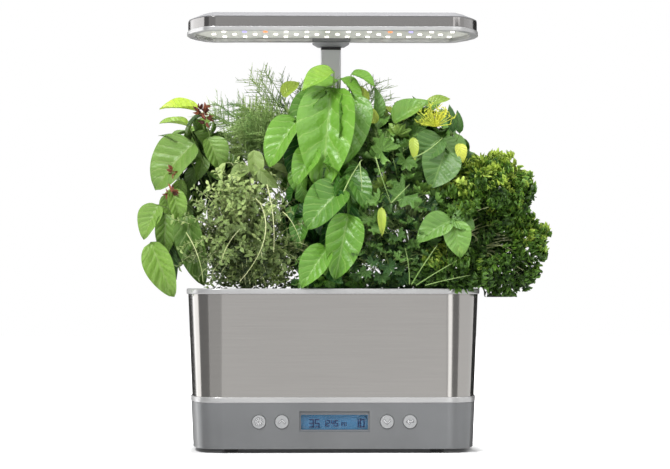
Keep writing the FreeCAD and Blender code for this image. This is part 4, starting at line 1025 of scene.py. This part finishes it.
def stems_piece(name: str, lines: list, skin: StemSkin, sides: int = 1) -> bpy.types.Object:
    """Turn lines into round stems that narrow to their tips.

    Args:
        name: The piece's name.
        lines: Pairs of points in millimetres and a radius in millimetres.
        skin: The stems' finish.
        sides: How round they are.

    Returns:
        The piece.
    """
    curve = bpy.data.curves.new(f"{name}_path", "CURVE")
    curve.dimensions = "3D"
    curve.bevel_depth = MM
    curve.bevel_resolution = sides
    curve.use_fill_caps = True
    for points, radius in lines:
        spline = curve.splines.new("POLY")
        spline.points.add(len(points) - 1)
        for number, point in enumerate(points):
            spline.points[number].co = (*(point * MM), 1)
            spline.points[number].radius = radius * (1 - 0.6 * number / (len(points) - 1))
    holder = put(f"{name}_draft", curve)
    bpy.context.view_layer.update()
    mesh = bpy.data.meshes.new_from_object(holder)
    bpy.data.objects.remove(holder)
    mesh.name = name
    mesh.materials.clear()
    mesh.materials.append(skin.material())
    return put(name, mesh)


@dataclass
class Dill:
    """The dill: stems that branch twice into threads."""

    node: str = "dill"
    pod: tuple[float, float] = (0.0, 34.0)
    seed: int = 23
    fronds: tuple[Sprigs, ...] = (
        Sprigs((-72, 8, 292), (40, 34, 30), 140, 0.2),
        Sprigs((-66, 20, 332), (28, 24, 16), 9, 0.4),
        Sprigs((-112, 16, 314), (12, 14, 12), 4, 0.3),
        Sprigs((-20, 30, 330), (24, 22, 22), 8, 0.4),
        Sprigs((38, 30, 328), (20, 22, 14), 6, 0.3),
        Sprigs((40, -4, 270), (34, 44, 34), 44, 0.2),
        Sprigs((32, -36, 205), (34, 34, 46), 58, 0.2),
    )
    skin: StemSkin = StemSkin("dill_thread", (0.09, 0.22, 0.04), (0.56, 0.72, 0.26))
    threads: int = 11
    twigs: int = 3
    stem_radius: float = 0.7
    spine_radius: float = 0.45
    thread_radius: float = 0.34
    twig_radius: float = 0.27

    def frond(self, tip: Vector, root: Vector, rng: random.Random) -> list:
        """Return the threads of one frond, as lines with radii."""
        axis = (tip - root).normalized()
        reach = rng.uniform(22, 38)
        base = tip - axis * reach * 0.6
        lines = [([base, tip], self.spine_radius)]
        for number in range(self.threads):
            start = base.lerp(tip, number / self.threads)
            side = Matrix.Rotation(number * 2.4, 3, axis) @ axis.orthogonal().normalized()
            way = (side + axis * 0.7 + Vector((0, -0.2, 0.1))).normalized()
            end = start + way * reach * rng.uniform(0.28, 0.5)
            lines.append((clear_line(start, end), self.thread_radius))
            for twig in range(self.twigs):
                fork = start.lerp(end, 0.35 + 0.25 * twig)
                lean = Matrix.Rotation((-1) ** twig * 0.9 + rng.uniform(-0.3, 0.3), 3, axis) @ way
                stop = fork + lean * reach * rng.uniform(0.14, 0.26)
                lines.append((clear_line(fork, stop), self.twig_radius))
        return lines

    def build(self) -> None:
        """Grow the dill, and let it stand for its solid."""
        rng = random.Random(self.seed)
        lines = []
        for group in self.fronds:
            for _ in range(group.stems):
                way = stray(rng).normalized()
                tip = group.point(way, rng.uniform(group.inner, 1.0))
                line = stem_line(self.pod, tip, rng)
                lines.append((line, self.stem_radius))
                lines.extend(self.frond(line[-1], line[-3], rng))
        piece = stems_piece("dill_fronds", lines, self.skin, 0)
        give_way(piece)
        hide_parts(self.node)
        LOG.info("dill: %d threads", len(lines))


SWEET_SKIN = LeafSkin("sweet_basil_leaf", (0.015, 0.085, 0.010), (0.17, 0.38, 0.040), (0.34, 0.50, 0.14),
                      roughness=0.36, accent=(0.42, 0.58, 0.06))
THAI_SKIN = LeafSkin("thai_basil_leaf", (0.018, 0.060, 0.012), (0.20, 0.36, 0.055), (0.30, 0.38, 0.13),
                     accent=(0.50, 0.66, 0.05))
MINT_SKIN = LeafSkin("mint_leaf", (0.015, 0.070, 0.012), (0.16, 0.33, 0.055), (0.26, 0.40, 0.11),
                     accent=(0.55, 0.60, 0.07))
THYME_SKIN = LeafSkin("thyme_leaf", (0.012, 0.030, 0.008), (0.25, 0.36, 0.10), (0.40, 0.50, 0.2), 3.0,
                      accent=(0.55, 0.66, 0.25))
CURLY_SKIN = LeafSkin("parsley_leaf", (0.006, 0.035, 0.004), (0.10, 0.23, 0.015), (0.3, 0.5, 0.05), 3.0,
                      0.5, 0.1, accent=(0.42, 0.56, 0.07), edge_lift=0.42)
BUD_SKIN = LeafSkin("basil_bud", (0.06, 0.012, 0.008), (0.32, 0.09, 0.04), (0.4, 0.2, 0.1), 3.0,
                    accent=(0.5, 0.2, 0.1))
FLOWER_SKIN = StemSkin("flower_thread", (0.45, 0.55, 0.05), (0.85, 0.78, 0.06))
GREEN_STEM = StemSkin("stem_green", (0.14, 0.26, 0.05), (0.34, 0.46, 0.16))
PALE_STEM = StemSkin("stem_pale", (0.30, 0.38, 0.12), (0.60, 0.62, 0.34))

THAI_BASIL = Herb(
    "thai_basil", (-80.0, 34.0), THAI_SKIN, GREEN_STEM, "leaf_bronze", 11,
    clouds=(
        Cloud((-124, 18, 268), (22, 32, 34), 34, THAI_LEAF, 30, 16, 0.35),
        Cloud((-142, 16, 205), (18, 30, 34), 26, THAI_LEAF, 32, 17, 0.35, Lean.HANGING),
        Cloud((-96, 12, 240), (26, 26, 30), 26, THAI_LEAF, 26, 15, 0.15),
    ),
    keys=(
        KeyLeaf((-123, -14, 307), (-155, -18, 317), 14, 0.95, (0.1, -0.6, 1)),
        KeyLeaf((-131, -16, 293), (-155, -20, 302), 12, 0.75, (0, -0.6, 1)),
        KeyLeaf((-139, -20, 278), (-156, -22, 289), 9, 0.1, (0, -0.6, 1), THAI_LEAF),
        KeyLeaf((-118, -20, 303), (-134, -24, 297), 7, 0.05, (0, -0.6, 1), THAI_LEAF),
        KeyLeaf((-126, -22, 278), (-165, -32, 243), 44, 0.42, (-0.3, -1, 0.55)),
        KeyLeaf((-114, -20, 283), (-99, -26, 255), 24, 0.45, (0.3, -1, 0.5)),
        KeyLeaf((-158, -24, 222), (-174, -32, 194), 23, 0.55, (-0.3, -1, 0.4)),
        KeyLeaf((-152, -28, 214), (-152, -34, 177), 19, 0.35, (0.1, -1, 0.3)),
        KeyLeaf((-165, -30, 188), (-146, -36, 139), 27, 0.62, (-0.2, -1, 0.25)),
        KeyLeaf((-150, -20, 190), (-144, -24, 155), 13, 0.02, (-0.2, -1, 0.2), THAI_LEAF),
        KeyLeaf((-146, -30, 236), (-136, -36, 205), 17, 0.6, (0.2, -1, 0.3)),
        KeyLeaf((-133, -40, 213), (-120, -52, 151), 27, 0.25, (-0.2, -1, 0.2)),
    ),
    stem_radius=0.9,
)
SWEET_BASIL = Herb(
    "sweet_basil", (0.0, -34.0), SWEET_SKIN, GREEN_STEM, "leaf_basil", 37,
    clouds=(
        Cloud((-4, -22, 292), (28, 22, 26), 26, BASIL_LEAF, 34, 24, 0.25, Lean.HANGING),
        Cloud((2, -48, 222), (24, 24, 34), 30, BASIL_LEAF, 34, 26, 0.10, Lean.HANGING),
        Cloud((-24, -30, 212), (22, 34, 50), 44, BASIL_LEAF, 26, 17, 0.12, Lean.HANGING),
        Cloud((-6, -50, 170), (28, 26, 16), 30, BASIL_LEAF, 22, 15, 0.2),
        Cloud((-4, -58, 150), (34, 10, 6), 60, BASIL_LEAF, 13, 8, 0.2),
    ),
    keys=(
        KeyLeaf((-2, -42, 326), (-13, -84, 241), 52, 0.56, (-0.1, -1, 0.4)),
        KeyLeaf((0, -50, 340), (-28, -66, 330), 20, 0.75, (-0.1, -0.8, 1)),
        KeyLeaf((-6, -46, 322), (-44, -52, 300), 22, 0.35, (-0.3, -1, 0.8)),
        KeyLeaf((16, -30, 340), (38, -34, 334), 14, 0.65, (0.2, -0.8, 1)),
        KeyLeaf((14, -36, 322), (14, -70, 262), 36, 0.42, (0.6, -1, 0.35)),
        KeyLeaf((4, -34, 334), (-34, -54, 314), 30, 0.7, (-0.2, -0.6, 1)),
        KeyLeaf((6, -28, 336), (26, -40, 318), 22, 0.6, (0.4, -0.5, 1)),
        KeyLeaf((-32, -48, 298), (-62, -62, 262), 32, 0.58, (-0.5, -1, 0.4)),
        KeyLeaf((-24, -46, 290), (-40, -56, 250), 26, 0.0, (-0.1, -1, 0.1)),
        KeyLeaf((-16, -60, 272), (-36, -74, 243), 24, 0.5, (-0.3, -1, 0.3)),
        KeyLeaf((8, -66, 236), (-26, -84, 206), 38, 0.3, (-0.1, -1, 0.6)),
        KeyLeaf((12, -72, 212), (2, -90, 158), 34, 0.42, (0.1, -1, 0.2)),
        KeyLeaf((-6, -76, 182), (-30, -92, 152), 26, 0.45, (-0.2, -1, 0.4)),
        KeyLeaf((14, -60, 250), (30, -76, 222), 22, 0.25, (0.3, -1, 0.4)),
        KeyLeaf((-46, 0, 322), (-34, -6, 336), 16, 1.0, (-0.3, -1, 0.7), BASIL_LEAF),
    ),
    stem_radius=1.4,
)
THYME = Herb(
    "thyme", (-80.0, -34.0), THYME_SKIN, PALE_STEM, "leaf_thyme", 53,
    sprigs=(
        Sprigs((-80, -44, 213), (66, 44, 50), 200, 0.45, 0.56),
        Sprigs((-76, -58, 172), (74, 34, 27), 120, 0.3, 0.42),
        Sprigs((-74, -58, 151), (52, 11, 7), 66, 0.3, 0.35),
    ),
    clouds=(
        Cloud((-72, -30, 250), (34, 26, 12), 14, THAI_LEAF, 24, 13, 0.62),
    ),
    pairs=13, first_pair=0.22, stem_radius=0.42,
    pale_lines=(
        ((-60, -80, 238), (-52, -98, 210), (-54, -100, 178), 0.8),
        ((-66, -80, 222), (-50, -100, 190), (-84, -96, 152), 0.8),
        ((-70, -84, 226), (-62, -98, 214), (-52, -94, 226), 0.6),
        ((-100, -88, 170), (-96, -96, 186), (-84, -92, 198), 0.6),
        ((-132, -60, 196), (-118, -84, 176), (-116, -92, 152), 0.7),
        ((-46, -80, 214), (-36, -96, 206), (-30, -96, 186), 0.6),
    ),
)
MINT = Herb(
    "mint", (80.0, 34.0), MINT_SKIN, GREEN_STEM, "leaf_mint", 71,
    clouds=(
        Cloud((70, 0, 288), (46, 38, 28), 66, MINT_LEAF, 24, 15, 0.5),
        Cloud((56, -20, 262), (38, 40, 26), 44, CUT_LEAF, 20, 20, 0.4),
        Cloud((96, -14, 262), (32, 36, 26), 34, BASIL_LEAF, 26, 19, 0.28, Lean.HANGING),
        Cloud((64, -50, 206), (44, 32, 40), 70, CUT_LEAF, 18, 18, 0.34),
        Cloud((48, -62, 170), (46, 24, 18), 56, CUT_LEAF, 13, 13, 0.25),
        Cloud((66, -58, 150), (56, 10, 6), 80, CUT_LEAF, 9, 9, 0.22),
    ),
    keys=(
        KeyLeaf((39, -22, 300), (41, -26, 328), 12, 0.45, (0.5, -1, 0.2)),
        KeyLeaf((31, -24, 315), (22, -26, 332), 9, 0.88, (0, -1, 0.4), THAI_LEAF),
        KeyLeaf((38, -34, 295), (31, -38, 312), 10, 0.88, (0, -1, 0.4), THAI_LEAF),
        KeyLeaf((54, -34, 296), (82, -46, 318), 20, 0.68, (-0.2, -1, 0.7)),
        KeyLeaf((84, -20, 312), (104, -24, 322), 11, 0.8, (0.1, -1, 0.8), THAI_LEAF),
        KeyLeaf((108, -34, 287), (105, -40, 311), 9, 0.1, (0, -1, 0.2), NARROW_LEAF),
        KeyLeaf((114, -34, 286), (112, -40, 306), 8, 0.15, (0, -1, 0.2), NARROW_LEAF),
        KeyLeaf((96, -52, 282), (72, -62, 262), 28, 0.25, (-0.1, -1, 0.4)),
        KeyLeaf((100, -54, 270), (88, -72, 240), 36, 0.3, (0.1, -1, 0.4)),
        KeyLeaf((70, -64, 281), (72, -70, 262), 9, 0.86, (0, -1, 0.2), THAI_LEAF),
        KeyLeaf((111, -58, 276), (116, -64, 260), 11, 1.0, (0.2, -1, 0.2), THAI_LEAF),
        KeyLeaf((52, -70, 262), (30, -78, 276), 26, 0.62, (0, -1, 0.4), CUT_LEAF),
        KeyLeaf((70, -76, 236), (52, -84, 218), 30, 0.35, (0, -1, 0.4), CUT_LEAF),
        KeyLeaf((103, -82, 207), (73, -92, 192), 25, 0.5, (-0.1, -1, 0.5)),
        KeyLeaf((103, -82, 208), (124, -86, 202), 20, 0.4, (0.2, -1, 0.5)),
        KeyLeaf((104, -84, 205), (112, -94, 176), 25, 0.66, (0.1, -1, 0.35)),
        KeyLeaf((41, -84, 218), (42, -90, 194), 8, 0.86, (0, -1, 0.2), THAI_LEAF),
    ),
    stem_radius=0.8,
    pale_lines=(
        ((8, -84, 232), (14, -92, 246), (24, -88, 260), 0.9),
        ((22, -86, 258), (23, -90, 246), (24, -88, 232), 0.8),
        ((36, -88, 262), (40, -94, 246), (50, -90, 220), 0.9),
        ((50, -90, 222), (58, -94, 230), (66, -86, 238), 0.8),
        ((70, -76, 262), (84, -84, 268), (96, -74, 280), 0.9),
        ((68, -84, 150), (78, -94, 168), (90, -90, 184), 0.9),
        ((72, -84, 149), (88, -94, 160), (110, -88, 172), 0.9),
        ((66, -84, 150), (66, -92, 166), (62, -88, 182), 0.8),
        ((80, -84, 149), (98, -94, 154), (120, -84, 158), 0.8),
    ),
)
PARSLEY = Herb(
    "parsley", (80.0, -34.0), CURLY_SKIN, PALE_STEM, "leaf_parsley", 89,
    sprigs=(
        Sprigs((141, -24, 233), (37, 44, 24), 50, 0.6, 0.30),
        Sprigs((152, -32, 178), (30, 38, 36), 38, 0.5, 0.16),
        Sprigs((108, -68, 162), (28, 18, 12), 16, 0.3, 0.12),
        Sprigs((124, -50, 208), (30, 34, 26), 14, 0.4, 0.08),
    ),
    sprig_shape=CURLY_LEAF, tufts=21, tuft_size=8.5, stem_radius=0.9,
)


BUD_CLUSTERS = (
    ((-119, -24, 307), 26, 7.0), ((-144, -32, 252), 14, 6.0),
    ((-147, -34, 233), 16, 6.0), ((-115, -24, 299), 12, 6.0),
)
FLOWER_HEART = (90, -62, 291)
FLOWER_THREADS = 70
FLOWER_RADIUS = 0.5
FLOWER_SEED = 9


def bud_cluster(middle: Place, count: int, size: float, rng: random.Random) -> list[Matrix]:
    """Return places for a tight cluster of small buds."""
    places = []
    for _ in range(count):
        way = stray(rng).normalized()
        base = Vector(middle) + way * size * 0.35
        places.append(leaf_frame(base, way, way.orthogonal(), size, size * 0.5))
    return places


def build_buds() -> None:
    """Put the red-brown buds on the bronze-tipped basil."""
    buds = Herb("thai_basil_buds", THAI_BASIL.pod, BUD_SKIN, GREEN_STEM, THAI_BASIL.slot, 7)
    rng = random.Random(buds.seed)
    bm = leaf_draft()
    for middle, count, size in BUD_CLUSTERS:
        for matrix in bud_cluster(middle, count, size, rng):
            copy_leaf(bm, buds.blank(NARROW_LEAF, rng), matrix, rng.uniform(0, LIGHTEST_LEAF))
    give_way(as_piece(bm, buds.node, buds.skin))


def build_flower() -> None:
    """Put the yellow flower head over the mint."""
    rng = random.Random(FLOWER_SEED)
    heart = Vector(FLOWER_HEART)
    lines = []
    for _ in range(FLOWER_THREADS):
        way = Vector((rng.gauss(0, 1), rng.gauss(0, 0.6), abs(rng.gauss(0.8, 0.8)))).normalized()
        end = heart + way * rng.uniform(9, 20)
        lines.append(([heart, heart.lerp(end, 0.6) + Vector((0, -1, 0)), end], FLOWER_RADIUS))
        for _ in range(2):
            twig = Vector((rng.uniform(-3, 3), rng.uniform(-3, 1), rng.uniform(0, 4)))
            lines.append(([end, end + twig], FLOWER_RADIUS))
    give_way(stems_piece("mint_flower", lines, FLOWER_SKIN, 0))


# Studio


@dataclass(frozen=True)
class Studio:
    """The floor, the light, the cards that the metal reflects, and the camera."""

    distance: float = 2.476
    eye_height: float = 0.144
    side_step: float = -0.052
    aim: Place = (0.002, 0.0, 0.1956)
    lens: float = 145.5
    shadow_half: tuple[float, float] = (0.126, 0.074)
    sensor: float = 36.0
    floor_half: float = 6.0
    room_light: float = 0.6
    seen_light: float = 1.0
    light_aim: Place = (0, 0, 0.25)
    card_distance: float = 3.4
    card_middle: float = 0.6
    card_height: float = 2.6
    cards: tuple = (
        ("card_left_grey", -33, 49, 0.55), ("card_left_dark", -83, 49, 0.24),
        ("card_left_white", -131, 45, 1.8), ("card_left_edge", -166, 23, 0.02),
        ("card_front", 0.5, 16, 0.8), ("card_right_grey", 12, 5.5, 0.55),
        ("card_right_white", 22.5, 14, 1.8), ("card_right_dark", 43.5, 26, 0.24),
        ("card_right_grey_side", 98, 80, 0.85), ("card_right_edge", 160, 36, 0.02),
    )
    lights: tuple = (
        ("key", (-0.9, -1.3, 1.7), 0.7, 42),
        ("fill", (1.2, -1.0, 1.1), 1.2, 8),
        ("top", (0.1, 0.2, 1.6), 0.6, 16),
    )

    def floor(self) -> None:
        """Lay a pale floor that stays white to the camera but keeps the shadow."""
        bm = bmesh.new()
        bmesh.ops.create_grid(bm, x_segments=1, y_segments=1, size=self.floor_half)
        sheet = NodeSheet("floor_pale")
        sheet.set(Base_Color=(0.86, 0.86, 0.86, 1), Roughness=0.95, Emission_Color=(1, 1, 1, 1))
        apart = sheet.add("ShaderNodeSeparateXYZ")
        sheet.join(sheet.place.outputs["Object"], apart.inputs[0])
        wide = sheet.sum("DIVIDE", sheet.sum("ABSOLUTE", apart.outputs["X"]), self.shadow_half[0])
        deep = sheet.sum("DIVIDE", sheet.sum("ABSOLUTE", apart.outputs["Y"]), self.shadow_half[1])
        rise = sheet.sum("MULTIPLY", sheet.sum("SUBTRACT", sheet.sum("MAXIMUM", wide, deep), 1.0), 5.0)
        rise.node.use_clamp = True
        seen = sheet.add("ShaderNodeLightPath").outputs["Is Camera Ray"]
        sheet.join(sheet.sum("MULTIPLY", rise, seen), sheet.shader.inputs["Emission Strength"])
        floor = as_object(bm, "floor", sheet.material)
        floor.visible_glossy = False

    def card(self, name: str, azimuth: float, width: float, tone: float) -> None:
        """Stand a card beside the camera that only reflections show.

        Args:
            name: The card's name.
            azimuth: Where it stands, in degrees from the front towards the right.
            width: How many degrees it covers.
            tone: How bright it is.
        """
        bm = bmesh.new()
        bmesh.ops.create_grid(bm, x_segments=1, y_segments=1, size=0.5)
        sheet = NodeSheet(f"{name}_face")
        sheet.set(Base_Color=(0, 0, 0, 1), Roughness=1.0)
        sheet.set(Emission_Color=(1, 1, 1, 1), Emission_Strength=tone)
        turn = math.radians(azimuth)
        radius = self.card_distance
        span = 2 * radius * math.tan(math.radians(width / 2))
        place = Matrix.Translation((radius * math.sin(turn), -radius * math.cos(turn), self.card_middle))
        stand = Matrix.Rotation(turn, 4, "Z") @ Matrix.Rotation(math.pi / 2, 4, "X")
        size = Matrix.Diagonal((span, self.card_height, 1, 1))
        bmesh.ops.transform(bm, matrix=place @ stand @ size, verts=bm.verts)
        card = as_object(bm, name, sheet.material)
        card.visible_camera = False
        card.visible_diffuse = False
        card.visible_shadow = False
        card.visible_transmission = False

    def world(self) -> None:
        """Light the room evenly, with a white background."""
        world = bpy.data.worlds.new("studio_air")
        bpy.context.scene.world = world
        world.use_nodes = True
        tree = world.node_tree
        back = tree.nodes["Background"]
        path = tree.nodes.new("ShaderNodeLightPath")
        seen = path.outputs["Is Camera Ray"]
        for ray in ("Is Glossy Ray", "Is Transmission Ray"):
            either = tree.nodes.new("ShaderNodeMath")
            either.operation = "MAXIMUM"
            tree.links.new(seen, either.inputs[0])
            tree.links.new(path.outputs[ray], either.inputs[1])
            seen = either.outputs[0]
        strength = tree.nodes.new("ShaderNodeMapRange")
        strength.inputs["To Min"].default_value = self.room_light
        strength.inputs["To Max"].default_value = self.seen_light
        tree.links.new(seen, strength.inputs["Value"])
        tree.links.new(strength.outputs["Result"], back.inputs["Strength"])
        back.inputs["Color"].default_value = (1, 1, 1, 1)

    def lamp(self, name: str, place: tuple, size: float, power: float) -> None:
        """Hang a soft light that looks at the herbs."""
        light = bpy.data.lights.new(name, "AREA")
        light.size = size
        light.energy = power
        item = put(name, light)
        item.location = place
        aim = Vector(self.light_aim) - Vector(place)
        item.rotation_euler = aim.to_track_quat("-Z", "Y").to_euler()

    def camera(self) -> None:
        """Stand the camera where the photograph was taken from."""
        data = bpy.data.cameras.new("camera")
        data.lens = self.lens
        data.sensor_width = self.sensor
        camera = put("camera", data)
        camera.location = (self.side_step, -self.distance, self.eye_height)
        aim = Vector(self.aim) - camera.location
        camera.rotation_euler = aim.to_track_quat("-Z", "Y").to_euler()
        bpy.context.scene.camera = camera

    def build(self) -> None:
        """Set up the whole studio."""
        bpy.context.scene.view_settings.view_transform = "Standard"
        self.floor()
        self.world()
        for card in self.cards:
            self.card(*card)
        for light in self.lights:
            self.lamp(*light)
        self.camera()


def dress_nodes(nodes: dict[str, bpy.types.Object]) -> None:
    """Give every solid that still shows its finish."""
    for name, finish in NODE_FINISHES.items():
        mesh = nodes[name].data
        mesh.materials.clear()
        mesh.materials.append(finish.material())


def main() -> None:
    """Dress the garden, piece by piece."""
    logging.basicConfig(level=logging.INFO)
    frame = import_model()
    nodes = frame["nodes"]
    dress_nodes(nodes)
    for piece in SOFTENED:
        piece.build(nodes)
    FrontPanel().build()
    for herb in (THAI_BASIL, SWEET_BASIL, THYME, MINT, PARSLEY):
        herb.build()
    Dill().build()
    build_buds()
    build_flower()
    Studio().build()


if __name__ == "__main__":
    main()
